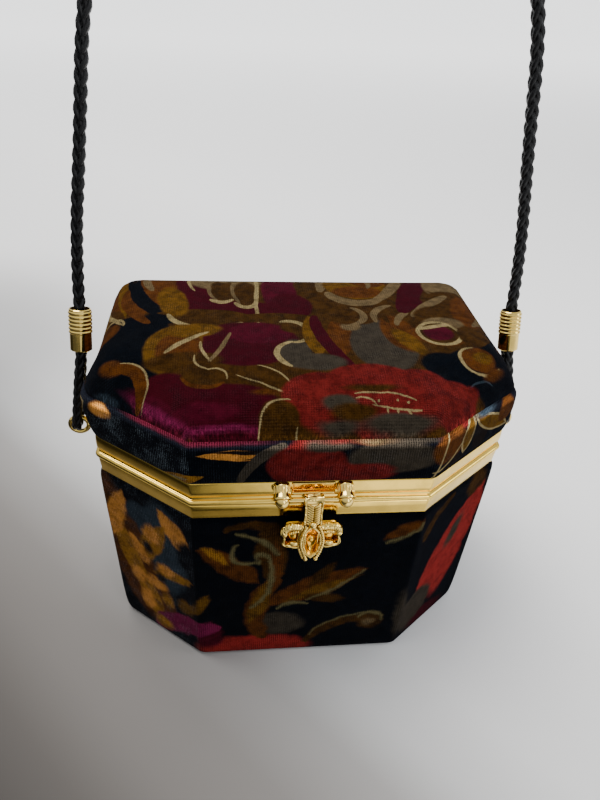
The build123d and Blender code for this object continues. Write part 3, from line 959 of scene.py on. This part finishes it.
# Zones of the velvet, and the materials
LEFT_CHAMFER_FROM = -100
TOP_COLUMNS, TOP_ROWS = [-90, -48, -16, 16, 48, 90], [-60, -26, 8, 60]
SIDE_COLUMNS, SIDE_ROWS = [-260, LEFT_CHAMFER_FROM, -44, 0, 44, 100, 260], [-10, 140]
VELVET_TOP = zone_velvets("top", LID_TOP, "brown", TOP_COLUMNS, TOP_ROWS)
VELVET_SKIRT = zone_velvets("skirt", LID_SIDES, "navy", SIDE_COLUMNS, SIDE_ROWS)
VELVET_CASE = zone_velvets("case", CASE_SIDES, "navy", SIDE_COLUMNS, SIDE_ROWS)
FRAME_BRASS = brass("brass_frame")
FITTING_BRASS = brass("brass_fitting", crevice_shade=True, tint=(0.92, 0.66, 0.18, 1))
# A darker, oranger copy of the brass for the clasp's recesses and bosses: painted shade and painted
# reflection
RECESS_SHADE_BRASS = brass("brass_painted_recess_shade", tint=(0.86, 0.48, 0.06, 1))
CORD_BLACK = cord_material()
SATIN = lining_material()
BOARD = plain_material("board", (0.10, 0.08, 0.06, 1), 0.9)
WADDING = plain_material("wadding", (0.55, 0.53, 0.48, 1), 0.95)


def dress_nodes():
    """The carried-over CAD nodes get their own materials."""
    looks = dict(case_shell=BOARD, lid_shell=BOARD, lid_padding=WADDING, case_lining=SATIN, lid_lining=SATIN)
    for name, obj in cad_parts.items():
        for place in obj.material_slots:
            place.material = looks.get(name, FITTING_BRASS)


# Padded velvet
def puffed(verts, faces, pinned, pressure, cap):
    """The points after a short cloth simulation under inner pressure, each moved by at most the cap."""
    obj = new_mesh("puff", verts, faces)
    group = obj.vertex_groups.new(name="pinned")
    group.add([int(i) for i in np.nonzero(pinned)[0]], 1.0, "REPLACE")
    settings = obj.modifiers.new("cloth", "CLOTH").settings
    settings.quality = 6
    settings.mass = 0.15
    settings.tension_stiffness = 12
    settings.compression_stiffness = 8
    settings.bending_stiffness = 2.0
    settings.use_pressure = True
    settings.uniform_pressure_force = pressure
    settings.vertex_group_mass = "pinned"
    settings.effector_weights.gravity = 0
    scene = bpy.context.scene
    for step in range(1, 16):
        scene.frame_set(step)
    result = obj.evaluated_get(bpy.context.evaluated_depsgraph_get())
    moved = np.array([v.co for v in result.data.vertices]) / MM
    scene.frame_set(1)
    bpy.data.objects.remove(obj)
    start = np.array(verts)
    step = moved - start
    size = np.linalg.norm(step, axis=1, keepdims=True)
    scale = np.where(size > cap, cap / np.maximum(size, 1e-9), 1.0)
    print("puff moved up to", round(float(size.max()), 2), "mm before the cap")
    return start + step * scale


def lay_zones(obj, tops, sides, crease):
    """Each face gets its zone's velvet: the tops above the crease, the sides below it."""
    obj.data.materials.clear()
    for material in tops + sides:
        obj.data.materials.append(material)
    for face in obj.data.polygons:
        x, y, z = (c / MM for c in face.center)
        if z > crease:
            face.material_index = zone_of(x, y, TOP_COLUMNS, TOP_ROWS)
        else:
            face.material_index = len(tops) + zone_of(round_plan(x, y), z, SIDE_COLUMNS, SIDE_ROWS)


def crown_height(inset):
    """Rise of the lid's crown at a distance in from the crease."""
    steps, shares = zip(*((math.sqrt(step), share) for step, share in CROWN_SHARES))
    return CROWN_RISE * float(np.interp(math.sqrt(max(inset, 0.0)), steps, shares))


def behind_front(x, y):
    """0 along the front and its chamfers, rising to 1 along the sides and back."""
    return float(np.clip((y + 0.78 * abs(x) - 8.0) / 34.0, 0.0, 1.0))


def skirt_swell(x, y, z):
    """How far the lid's velvet swells sideways: most where the chamfers end, and twice that at the left."""
    swell = float(np.interp(z, (104, 110, 116, 122, 126), (0.0, 0.7, 1.3, 1.2, 0.4)))
    corner = swell * math.exp(-((y + 17) / 11) ** 2) * float(np.clip((abs(x) - 55) / 20, 0, 1))
    corner *= 2.0 if x < 0 else 1.0
    return corner + 0.3 * swell * behind_front(x, y)


def crown_swell(inset, plump):
    """Lift and outward move of the crown at a distance in from its edge, where it is plump."""
    fade = float(np.interp(inset, (6.0, 20.0), (1.0, 0.1)))
    lift = CROWN_SWELL * plump * math.sqrt(min(inset / 3.0, 1.0)) * fade
    return lift, 1.1 * plump * math.exp(-inset / 2.5)


def crown_cap(verts, ring, top, levels):
    """Rings from the crown's last ring in to its middle point."""
    middle = np.array([0.0, CROWN_MIDDLE_Y])
    for share in levels:
        for p in ring:
            lift = top + 0.5 * (1 - share ** 2) + 0.32 * behind_front(*p) * share ** 2
            verts.append((*(middle + (p - middle) * share), lift))
    verts.append((*middle, top + 0.5))


def close_inside(verts, faces, count, walls):
    """An inner wall of two (grow, z) rings, joined to the first ring of points, with its flat end."""
    start = len(verts)
    for grow, z in walls:
        verts += [(x, y, z) for x, y in outline(grow)]
    faces += [(k, start + k, start + (k + 1) % count, (k + 1) % count) for k in range(count)]
    faces += shifted(ring_faces(2, count), start)
    faces.append(tuple(range(start + count, start + 2 * count)))


def lid_cover():
    """Velvet over the lid: tucked edge, skirt, rolled turn, crisp crease and padded crown."""
    skirt = [
        (-0.9, 101.5), (-0.3, 103.4), (0.8, 104.3), (1.25, 106.0), (1.45, 109.0), (1.5, 112.0), (1.45, 115.0),
    ]
    turn = 2.4
    for angle in (0, 22, 45, 66, 84):
        t = math.radians(angle)
        skirt.append((1.3 - turn + turn * math.cos(t), LID_CREASE - turn + turn * math.sin(t)))
    rings = [(grow, z, 0.0) for grow, z in skirt]
    for inset in (0.12, 0.5, 1.2, 2.2, 3.5, 5.5, 8.0, 11.0, 14.5, 18.5, 23.0):
        rings.append((-CROWN_EDGE - inset, LID_CREASE + crown_height(inset), 0.6 * inset))
    verts, pinned = [], []
    for index, (grow, z, soften) in enumerate(rings):
        ring = outline(grow, np.array(LID_SOFT) + soften)
        for x, y in ring:
            plump = behind_front(x, y)
            x += math.copysign(skirt_swell(x, y, z), x)
            lift, out = crown_swell(-CROWN_EDGE - grow, plump) if index >= len(skirt) else (0.0, 0.0)
            away = unit(np.array([x, y - CROWN_MIDDLE_Y]))
            verts.append((x + out * away[0], y + out * away[1], z + lift))
        pinned += [index < 2 or len(skirt) - 5 <= index <= len(skirt)] * len(ring)
    count = len(ring)
    levels = [0.84, 0.68, 0.52, 0.36, 0.2]
    crown_cap(verts, ring, rings[-1][1], levels)
    pinned += [False] * (len(verts) - len(pinned))
    total = len(rings) + len(levels)
    faces = ring_faces(total, count)
    hub = len(verts) - 1
    last = (total - 1) * count
    faces += [(last + k, last + (k + 1) % count, hub) for k in range(count)]
    verts = [tuple(v) for v in puffed(verts, faces, np.array(pinned), 1.2, 1.0)]
    close_inside(verts, faces, count, [(-1.7, 101.5), (-1.8, 119.0)])
    obj = make_piece("velvet_lid_cover", verts, faces, VELVET_TOP[0], "lid", ["lid_cover"])
    fix_normals(obj, 38)
    lay_zones(obj, VELVET_TOP, VELVET_SKIRT, LID_CREASE - 0.02)


def case_cover():
    """Velvet over the case: tucked edge, walls that lean in and swell a little, turned base edge."""
    walls = [
        (-0.9, 88.0), (-0.5, 86.2), (0.1, 85.2), (0.35, 83.0), (0.4, 76.0), (0.2, 64.0), (-0.1, 52.0),
        (-0.4, 40.0), (-0.75, 28.0), (-1.15, 16.0), (-1.6, 8.0), (-1.9, 4.0), (-2.3, 2.0), (-3.0, 0.8),
        (-4.2, 0.15), (-6.0, 0.0),
    ]
    verts, pinned = [], []
    for index, (grow, z) in enumerate(walls):
        ring = outline(grow, np.array(CASE_SOFT) * max(0.0, 1 - z / 84))
        verts += [(x, y, z) for x, y in ring]
        pinned += [index < 3 or z < 3] * len(ring)
    count = len(ring)
    faces = ring_faces(len(walls), count)
    verts = [tuple(v) for v in puffed(verts, faces, np.array(pinned), 1.0, 1.2)]
    base = len(verts) - count
    close_inside(verts, faces, count, [(-1.7, 88.0), (-3.6, 1.2)])
    faces.append(tuple(range(base, base + count)))
    obj = make_piece("velvet_case_cover", verts, faces, VELVET_CASE[0], "case", ["case_cover"])
    fix_normals(obj, 60)
    lay_zones(obj, [], VELVET_CASE, 1000.0)


# Brass frames
def frames():
    """The pressed brass channels of the lid, with its rolled bead, and of the case."""
    bead = (-0.35, 94.4)
    lid_profile = [
        (-0.9, 103.45), (-0.62, 103.68), (-0.25, LID_FRAME_TOP), (-0.02, 103.25), (0.1, 102.4), (0.16, 101.0),
        (0.16, 99.4), (0.08, 98.2), (-0.12, 97.5), (-0.42, 97.1), (-0.55, 96.6), (-0.5, 96.1), (-0.42, 95.75),
        *arc_points(bead, 1.25, 84, -84, 12),
        (-0.6, LID_FRAME_BOTTOM), (-5.1, LID_FRAME_BOTTOM), (-5.3, 93.35), (-5.3, 98.0), (-4.9, 98.15),
        (-4.5, 98.0), (-4.5, 94.05), (-0.9, 94.05),
    ]
    swept_frame("lid_brass_frame", lid_profile, "lid", ["lid_frame"], flat_at_hinges=True)
    case_profile = [
        (-0.75, CASE_FRAME_BOTTOM), (-0.58, 86.05), (-0.56, 86.5), (-0.42, 88.0), (-0.22, 90.0),
        (-0.02, 92.1), (-0.06, 92.55), (-0.3, CASE_FRAME_TOP), (-5.1, CASE_FRAME_TOP), (-5.3, 92.6),
        (-5.3, 88.0), (-4.9, 87.8), (-4.5, 88.0), (-4.5, 91.9), (-0.9, 91.9), (-0.95, 86.3),
    ]
    swept_frame("case_brass_frame", case_profile, "case", ["case_frame"])


# Braided cords
def evenly_spaced(line, spacing, fewest):
    """Points at even distances along a line, and those distances."""
    lengths = np.concatenate([[0], np.cumsum(np.linalg.norm(np.diff(line, axis=0), axis=1))])
    at = np.linspace(0, lengths[-1], max(int(lengths[-1] / spacing), fewest) + 1)
    return np.stack([np.interp(at, lengths, line[:, k]) for k in range(3)], axis=1), at


def route_line(name, points, spacing):
    """Evenly spaced points read from the smooth curve through a route's control points, in mm."""
    curve = bpy.data.curves.new(name, "CURVE")
    curve.dimensions = "3D"
    curve.resolution_u = 24
    spline = curve.splines.new("NURBS")
    spline.points.add(len(points) - 1)
    for place, point in zip(spline.points, points):
        place.co = (*[c * MM for c in point], 1)
    spline.order_u = 3
    spline.use_endpoint_u = True
    obj = link_new(name, curve)
    mesh = bpy.data.meshes.new_from_object(obj)
    line = np.array([v.co for v in mesh.vertices]) / MM
    bpy.data.objects.remove(obj)
    bpy.data.curves.remove(curve)
    bpy.data.meshes.remove(mesh)
    return evenly_spaced(line, spacing, 8)


def frames_along(line):
    """Directions along a line, and two directions across it that don't twist."""
    tangent = np.gradient(line, axis=0)
    tangent /= np.linalg.norm(tangent, axis=1, keepdims=True)
    first = np.cross(tangent[0], (0.0, 1.0, 0.0))
    first = unit(first) if np.linalg.norm(first) > 0.1 else unit(np.cross(tangent[0], (1.0, 0.0, 0.0)))
    sides = [first]
    for t in tangent[1:]:
        sides.append(unit(sides[-1] - t * np.dot(sides[-1], t)))
    sides = np.array(sides)
    return tangent, sides, np.cross(tangent, sides)


def round_angles(count):
    """Evenly spaced angles of a full turn."""
    return np.arange(count) * FULL_TURN / count


def tube_along(line, radius, sides):
    """Points and quads of a round tube along a line, closed at both ends."""
    _, across, up = frames_along(line)
    radius = np.broadcast_to(radius, (len(line),))
    verts = []
    for p, a, b, r in zip(line, across, up, radius):
        verts += [p + r * (math.cos(t) * a + math.sin(t) * b) for t in round_angles(sides)]
    ends = [tuple(range(sides))[::-1], tuple(range(len(verts) - sides, len(verts)))]
    return verts, ring_faces(len(line), sides) + ends


def braided(name, line, at, radius, replaces):
    """Eight strands, four each way, that pass over and under by pairs round one centreline."""
    _, across, up = frames_along(line)
    verts, faces = [], []
    strands = 4
    lead = BRAID_LEAD * radius / CORD_RADIUS
    for way in (1, -1):
        for number in range(strands):
            turn = way * FULL_TURN * at / lead + number * FULL_TURN / strands
            over = way * np.sin(2 * turn)
            reach = radius * (0.47 + 0.17 * over)
            centre = line + reach[:, None] * (np.cos(turn)[:, None] * across + np.sin(turn)[:, None] * up)
            more, quads = tube_along(centre, radius * 0.41, 8)
            faces += shifted(quads, len(verts))
            verts += more
    obj = make_piece(name, verts, faces, CORD_BLACK, "case", replaces)
    fix_normals(obj, 80)
    return obj


def mirrored(points):
    """The same points on the other side of the purse."""
    return [(-x, y, z) for x, y, z in points]


def strap():
    """The strap: one braided cord over the top, and a folded end through each eye."""
    right = [FERRULE_TOP] + CORD_ROUTE
    route = right + [CORD_TOP] + mirrored(right)[::-1]
    line, at = route_line("strap_route", route, 1.2)
    cord = braided("strap_braid", line, at, CORD_RADIUS, ["strap_cord"])
    print("strap length", round(float(at[-1]), 1))
    bottom = np.array(FERRULE_BOTTOM)
    centre = np.array([EYE[0], EYE[1], EYE[2] + EYE_RING])
    rise = np.linalg.norm(bottom - centre)
    up = (bottom - centre) / rise
    along = np.array([0.0, 1.0, 0.0])
    along = unit(along - up * np.dot(along, up))
    half_loop = [
        (LOOP_BEND, -LOOP_BEND), (LOOP_BEND + 0.1, 2.0), (3.5, 0.55 * rise), (1.6, rise - 3), (1.3, rise + 1),
    ]
    local = [(-a, b) for a, b in half_loop[::-1]] + half_loop
    points = [tuple(centre + a * along + b * up) for a, b in local]
    for side, route in (("right", points), ("left", mirrored(points))):
        line, at = route_line("loop_route_" + side, route, 0.9)
        braided("strap_fold_" + side, line, at, LOOP_RADIUS, ["strap_loop_" + side])


# Clasp
def smooth_path(points, spacing):
    """Evenly spaced points of a smooth curve through the given ones."""
    points = np.array(points, float)
    ends = np.vstack([2 * points[0] - points[1], points, 2 * points[-1] - points[-2]])
    fine = []
    for i in range(1, len(ends) - 2):
        a, b, c, d = ends[i - 1:i + 3]
        for t in np.arange(0, 1, 0.05):
            fine.append(0.5 * (2 * b + (c - a) * t + (2 * a - 5 * b + 4 * c - d) * t * t
                               + (3 * b - a - 3 * c + d) * t ** 3))
    fine.append(points[-1])
    return evenly_spaced(np.array(fine), spacing, 3)


class Casting:
    """One metal piece gathered from closed tubes, ropes, beads, turned shapes and dished plates."""

    def __init__(self):
        self.verts, self.faces, self.deep = [], [], []

    def add(self, verts, faces, deep=False):
        start = len(self.verts)
        self.verts += [tuple(v) for v in verts]
        self.faces += shifted(faces, start)
        self.deep += [deep] * len(faces)

    def tube(self, points, radius, sides):
        line, at = smooth_path(points, 0.35)
        share = at / at[-1]
        ends = np.minimum(1.0, np.sqrt(np.minimum(share, 1 - share) * at[-1] / max(radius, 0.1) + 0.05))
        self.add(*tube_along(line, radius * ends, sides))

    def rope(self, points, radius, pitch, strands=2, way=1):
        line, at = smooth_path(points, 0.25)
        _, across, up = frames_along(line)
        for number in range(strands):
            turn = way * FULL_TURN * at / pitch + number * FULL_TURN / strands
            centre = line + 0.5 * radius * (np.cos(turn)[:, None] * across + np.sin(turn)[:, None] * up)
            self.add(*tube_along(centre, 0.56 * radius, 7))

    def beads(self, points, radius, spacing):
        line, _ = smooth_path(points, spacing)
        for place in line:
            self.ball(place, radius, 10)
        self.tube(points, 0.45 * radius, 6)

    def ball(self, centre, radius, steps=28):
        angles = np.linspace(0, math.pi, steps // 2 + 1)
        profile = [(radius * math.sin(t), -radius * math.cos(t)) for t in angles]
        self.lathe(centre, (0, -1, 0), profile, steps)

    def lathe(self, origin, direction, profile, steps, deep=False):
        axis = unit(np.array(direction, float))
        side = unit(np.cross(axis, (0.0, 0.3, 1.0)))
        other = np.cross(axis, side)
        verts = []
        for radius, along in profile:
            for t in round_angles(steps):
                ring = max(radius, 1e-3) * (math.cos(t) * side + math.sin(t) * other)
                verts.append(np.array(origin) + axis * along + ring)
        ends = [tuple(range(steps)), tuple(range(len(verts) - steps, len(verts)))]
        self.add(verts, ring_faces(len(profile), steps) + ends, deep)

    def dished(self, edge, back, steps, shaded_from=None):
        """A closed plate in XZ: its edge scaled by steps of (share, Y), in the brass of painted shade and
        reflection from one on.
        """
        edge = np.array(edge, float)
        middle = (edge.max(axis=0) + edge.min(axis=0)) / 2
        count = len(edge)
        verts = [(x, back, z) for x, z in edge]
        for share, y in steps:
            verts += [(x, y, z) for x, z in middle + (edge - middle) * share]
        faces = ring_faces(len(steps) + 1, count)
        back_face, front_face = tuple(range(count)), tuple(range(len(verts) - count, len(verts)))
        self.add(verts, faces + [back_face, front_face])
        if shaded_from:
            first = len(self.deep) - len(faces) - 2
            for k in range(shaded_from * count, len(faces)):
                self.deep[first + k] = True
            self.deep[-1] = True

    def make(self, name, body, replaces):
        obj = make_piece(name, self.verts, self.faces, FITTING_BRASS, body, replaces)
        # The recessed faces take the brass with painted shade and reflection
        obj.data.materials.append(RECESS_SHADE_BRASS)
        for face, deep in zip(obj.data.polygons, self.deep):
            face.material_index = 1 if deep else 0
        fix_normals(obj, 45)


def rounded_box(x0, x1, z0, z1, radius, flare=0.0):
    """Corner-rounded rectangle in XZ, its lower edge widened by the flare."""
    points = []
    left, right, low, high = x0 + radius, x1 - radius, z0 + radius, z1 - radius
    for cx, cz, first in ((right, high, 0), (left, high, 90), (left, low, 180), (right, low, 270)):
        for k in range(7):
            t = math.radians(first + 15 * k)
            points.append([cx + radius * math.cos(t), cz + radius * math.sin(t)])
    middle = (x0 + x1) / 2
    for point in points:
        low = max(0.0, 1 - (point[1] - z0) / (0.45 * (z1 - z0)))
        point[0] += math.copysign(flare * low * low, point[0] - middle)
    return points


def pointed_oval(width, bottom, top):
    """A pointed oval in XZ, of two arcs."""
    height = (top - bottom) / 2
    radius = (height * height + width * width / 4) / width
    centre = radius - width / 2
    half = math.asin(height / radius)
    right = [(radius * math.cos(t) - centre, radius * math.sin(t)) for t in np.linspace(-half, half, 14)]
    left = [(-x, z) for x, z in right[1:-1]]
    return [(x, z + (top + bottom) / 2) for x, z in right + left[::-1]]


def lever_stem(part):
    """Barrel on the rod and the stem below it, with roped sides, slanting ribs and a ball at its foot."""
    _, y0, z0 = CLASP_AXIS
    front = y0 - 1.7
    half_barrel = [(1.85, 2.8), (2.05, 3.0), (2.05, 3.4), (1.5, 3.6)]
    part.lathe(CLASP_AXIS, (1, 0, 0), [(r, -along) for r, along in half_barrel[::-1]] + half_barrel, 32)
    half_stem = [(3.3, 98), (2.75, 95), (2.7, 92), (2.8, 88), (3.1, 85.5)]
    stem = half_stem + [(-x, z) for x, z in half_stem[::-1]]
    part.dished(stem, LEVER_BACK, [(1.0, front + 0.4), (0.92, front)])
    for side in (-1, 1):
        edge = [
            (side * 3.0, y0 - 1.9, 98.6), (side * 2.75, front, 95), (side * 2.7, front - 0.1, 91.5),
            (side * 2.9, front - 0.3, 87.5),
        ]
        part.rope(edge, 0.52, pitch=1.7, way=side)
        for k in range(9):
            z = 96.9 - 1.12 * k
            middle, end = (side * 1.3, front - 0.35, z - 0.3), (side * 2.5, front - 0.1, z + 0.7)
            part.tube([(0, front - 0.2, z - 1.2), middle, end], 0.42, 7)
        for k in range(4):
            arc = []
            for t in (0, 0.5, 1):
                turn = math.radians(35 + 28 * k) + 0.5 * t
                arc.append((side * 2.6 * t, y0 - 2.0 * math.cos(turn), z0 - 0.2 + 2.0 * math.sin(turn)))
            part.tube(arc, 0.3, 6)
    part.ball((0.1, front - 0.6, 87.6), 1.45)


def lever_lobe(part, side):
    """One ribbon lobe: a dished plate with a roped upper edge, ribs at its foot and a boss in its middle."""
    def at_side(points):
        return [(side * x, *rest) for x, *rest in points]

    outer = at_side(rounded_box(2.0, 10.2, 76.1, 86.0, 2.4, 0.5))
    dish = [(1.0, -58.9), (0.96, -59.4), (0.9, -59.4), (0.84, -58.6), (0.72, -57.2), (0.4, -56.9)]
    part.dished(outer, LEVER_BACK, dish, 4)
    upper_edge = [
        (2.4, -58.4, 85.6), (5.2, -58.5, 86.3), (8.2, -58.4, 85.9), (9.8, -58.4, 84.2), (10.1, -58.6, 82.2),
    ]
    part.rope(at_side(upper_edge), 1.45, pitch=3.4, strands=4, way=side)
    part.rope(at_side([(3.6, -59.3, 84.0), (6.0, -59.5, 84.6), (8.3, -59.3, 83.6)]), 0.6, pitch=1.6, way=side)
    part.tube(at_side([(3.2, -59.2, 77.2), (6.0, -59.6, 76.7), (9.6, -59.2, 77.6)]), 0.62, 8)
    part.tube(at_side([(4.4, -58.9, 78.6), (6.4, -59.5, 78.4), (8.2, -58.9, 78.7)]), 0.95, 10)
    part.tube(at_side([(9.4, -59.0, 76.6), (10.6, -59.0, 78.4), (9.9, -59.2, 81.2)]), 0.5, 8)
    boss = [(2.6, 0), (2.5, 0.7), (1.9, 1.5), (0.9, 1.9), (0, 2.0)]
    part.lathe((side * 6.2, -56.6, 80.6), (0, -1, 0), boss, 28, True)


def lever_ring(part):
    """The dished pointed ring: ropes at its left, beads and a rope at its right, two balls and a boss."""
    oval = pointed_oval(8.6, 70.3, 88.0)
    dish = [(1.0, -59.6), (0.95, -60.0), (0.84, -60.0), (0.76, -59.2), (0.6, -57.6), (0.3, -57.0)]
    part.dished(oval, LEVER_BACK, dish, 4)
    left = [
        (-2.4, -60.0, 87.4), (-3.7, -60.3, 83.6), (-4.1, -60.4, 79.4),
        (-3.2, -60.4, 74.6), (-1.8, -60.2, 70.4),
    ]
    right = mirrored(left)
    part.rope(left, 0.62, pitch=1.8)
    part.tube([(x - 1.0, y + 0.5, z - 0.1) for x, y, z in left], 0.45, 8)
    part.rope([(x + 1.0, y, z) for x, y, z in left[1:-1]], 0.45, pitch=1.5, way=-1)
    part.beads(right, 0.62, 1.15)
    part.rope([(x - 1.0, y + 0.1, z) for x, y, z in right[1:-1]], 0.45, pitch=1.5)
    for side in (-1, 1):
        part.ball((side * 1.9, -60.0, 70.6), 0.9, 16)
    boss = [(1.9, 0), (1.8, 0.5), (1.3, 1.0), (0.6, 1.3), (0, 1.35)]
    part.lathe((0, -57.2, 78.6), (0, -1, 0), boss, 24, True)


def lever():
    """The clasp's lever, one casting: barrel and stem, two lobes and a pointed ring."""
    part = Casting()
    lever_stem(part)
    for side in (-1, 1):
        lever_lobe(part, side)
    lever_ring(part)
    part.make("clasp_lever_cast", "clasp_lever", ["clasp_lever"])


def stud(side, name):
    """A cupped, ribbed collar with a ball head, tilted down to the front, and the boss it grows from."""
    tilt = math.radians(40)
    direction = np.array([0, -math.cos(tilt), -math.sin(tilt)])
    up = np.array([0, -math.sin(tilt), math.cos(tilt)])
    part = Casting()
    root = np.array([side * STUD_X, -53.4, 102.3])
    cup = [
        (2.7, 0.0), (3.0, 0.6), (2.85, 1.4), (2.75, 2.4), (2.95, 3.5), (3.35, 4.5), (3.5, 5.1), (3.45, 5.45),
        (3.2, 5.5), (3.0, 5.1), (2.85, 4.3), (2.4, 3.6), (0, 3.3),
    ]
    part.lathe(root, direction, cup, 44)
    for turn in round_angles(16):
        out = math.cos(turn) * up + math.sin(turn) * np.array([1.0, 0, 0])
        rib = [root + out * far + direction * along for far, along in ((2.9, 0.4), (2.75, 2.0), (2.9, 3.4))]
        part.tube(rib, 0.26, 6)
    part.ball(root + direction * 6.0, 2.65, 36)
    boss = [(2.9, 0), (2.9, 1.4), (2.6, 2.0), (2.0, 2.4), (0, 2.5)]
    part.lathe((side * STUD_X, -53.6, 100.4), (0, -1, 0), boss, 32)
    part.make("clasp_stud_turned_" + name, "lid", ["clasp_stud_" + name])


def plate():
    """The recessed plate between the studs, with a thin upper rim and a thick lower one."""
    part = Casting()
    edge = rounded_box(-7.9, 7.9, 98.9, 103.3, 0.35)
    part.dished(edge, -53.45, [(1.0, -54.1), (0.985, -54.2), (0.94, -54.2), (0.92, -53.9), (0.9, -53.75)], 3)
    part.tube([(x, -54.1, 103.2) for x in (-7.8, 0, 7.8)], 0.28, 8)
    part.tube([(x, -54.5, 98.9) for x in (-7.9, 0, 7.9)], 0.5, 10)
    part.make("clasp_plate_framed", "lid", ["clasp_plate"])


# Studio
CAMERA_PLACE = (-29.762, -223.087, 259.0326)
CAMERA_AZIMUTH = -0.1336
CAMERA_ELEVATION = 0.6121
CAMERA_ROLL = 0.0664
CAMERA_LENS = 29.25
FLOOR_SIZE = 6000.0
FLOOR_SHADE_GREYS = [
    (-150, 0.004), (-124, 0.05), (-85, 0.085), (-50, 0.14), (-14, 0.18), (26, 0.29), (55, 0.48), (95, 0.64),
    (150, 0.72), (220, 0.80), (560, 0.93),
]
FLOOR_FROM = -200.0
FLOOR_LENGTH = 800.0


def camera():
    """The camera of the photo, fitted to the purse's corners in it."""
    data = bpy.data.cameras.new("camera")
    data.lens = CAMERA_LENS
    data.sensor_width = 36
    data.clip_start = 0.01
    obj = link_new("camera", data)
    across, level = math.sin(CAMERA_AZIMUTH), math.cos(CAMERA_AZIMUTH)
    flat = math.cos(CAMERA_ELEVATION)
    forward = Vector((-across * flat, level * flat, -math.sin(CAMERA_ELEVATION)))
    right = Vector((level, across, 0))
    up = right.cross(forward)
    c, s = math.cos(CAMERA_ROLL), math.sin(CAMERA_ROLL)
    spin = Matrix((right * c + up * s, up * c - right * s, -forward)).transposed()
    obj.matrix_world = Matrix.Translation(Vector(CAMERA_PLACE) * MM) @ spin.to_4x4()
    bpy.context.scene.camera = obj


def area_light(name, place, target, size, power, colour=(1, 1, 1)):
    """A rectangular light at a place in metres, turned to its target."""
    data = bpy.data.lights.new(name, "AREA")
    data.shape = "RECTANGLE"
    data.size, data.size_y = size
    data.energy = power
    data.color = colour
    obj = link_new(name, data)
    obj.location = place
    obj.rotation_mode = "QUATERNION"
    obj.rotation_quaternion = (Vector(target) - Vector(place)).to_track_quat("-Z", "Y")


def floor_greys(s, x, y):
    """The photo's background on the floor: dark at the lower left, paler towards the back and right."""
    # Painted shade: darker at the lower left, paler towards the back and right
    along = s.plus(x, s.times(s.plus(y, 110.0), 0.9))
    made = s.tree.nodes.new("ShaderNodeValToRGB")
    s.put(made.inputs[0], s.math("DIVIDE", s.plus(along, -FLOOR_FROM), FLOOR_LENGTH, clamp=True))
    elements = made.color_ramp.elements
    while len(elements) < len(FLOOR_SHADE_GREYS):
        elements.new(0.5)
    for element, (at, value) in zip(elements, FLOOR_SHADE_GREYS):
        element.position = (at - FLOOR_FROM) / FLOOR_LENGTH
        warm = 1 - min(value / 0.4, 1.0)
        element.color = (value, value * (1 - 0.10 * warm), value * (1 - 0.18 * warm), 1)
    return made.outputs[0]


def floor_paint():
    """The floor's painted shade, with a painted shadow behind the left, painted dark and bright zones out of
    view that the front's brass reflects, and a painted glow far back.
    """
    s = Shader("floor_paint", Roughness=0.8, Specular_IOR_Level=0.1)
    place = s.object_mm()
    x, y, _ = s.parts(place)
    # Painted shadow: a darker spot behind the left of the purse
    shadow_spot_distance = s.vector("DISTANCE", place, (-235.0, 230.0, 0.0))
    in_view = s.vector("SCALE", floor_greys(s, x, y), None, None, s.ramp(shadow_spot_distance, 40.0, 190.0, 0.62, 1.0))
    # Before the front edge of the view, painted shade and light for the brass to reflect: dark at the left
    # and bright at the right, in a near and a far strip
    out_of_view = s.ramp(s.plus(y, s.times(x, 0.072)), -114.0, -122.0)
    near = s.ramp(x, -25.0, 50.0, 0.012, 0.95)
    far = s.ramp(x, -66.0, 50.0, 0.05, 0.95)
    reflected = s.plus(near, s.times(s.ramp(y, -126.0, -148.0), s.minus(far, near)))
    s.set("Base Color", s.mix(out_of_view, in_view, reflected))
    # Painted glow: the far floor gives off light though it is no lamp, so that it stays pale in the distance
    s.shader.inputs["Emission Color"].default_value = (1.0, 1.0, 0.99, 1)
    s.set("Emission Strength", s.ramp(y, 250.0, 2200.0, 0.0, 1.3))
    return s.material


def daylight():
    """Pale sky, brighter overhead."""
    world = bpy.data.worlds.new("world")
    bpy.context.scene.world = world
    world.use_nodes = True
    tree = world.node_tree
    sky = tree.nodes.new("ShaderNodeTexCoord")
    split = tree.nodes.new("ShaderNodeSeparateXYZ")
    tree.links.new(sky.outputs[0], split.inputs[0])
    fade = tree.nodes.new("ShaderNodeMapRange")
    for number, value in enumerate((-0.1, 0.9, 0.55, 1.0)):
        fade.inputs[1 + number].default_value = value
    tree.links.new(split.outputs[2], fade.inputs[0])
    back = tree.nodes["Background"]
    back.inputs[0].default_value = (0.95, 0.97, 1.0, 1)
    tree.links.new(fade.outputs[0], back.inputs[1])


def studio():
    """The floor, the sky and three area lights."""
    corners = [(x * FLOOR_SIZE, y * FLOOR_SIZE, 0) for x, y in ((-1, -1), (1, -1), (1, 1), (-1, 1))]
    floor = new_mesh("floor", corners, [(0, 1, 2, 3)])
    floor.data.materials.append(floor_paint())
    daylight()
    area_light("key", (-0.35, 0.25, 1.2), (0, 0, 0.08), (0.8, 0.8), 20.0, (1.0, 0.97, 0.93))
    area_light("fill", (0.9, -0.2, 0.6), (0, 0, 0.08), (0.5, 0.5), 3.0, (0.93, 0.96, 1.0))
    area_light("front", (0.35, -0.7, 0.5), (0, 0, 0.08), (0.25, 0.5), 1.5)


camera()
strap()
dress_nodes()
lid_cover()
case_cover()
frames()
lever()
stud(-1, "left")
stud(1, "right")
plate()
studio()
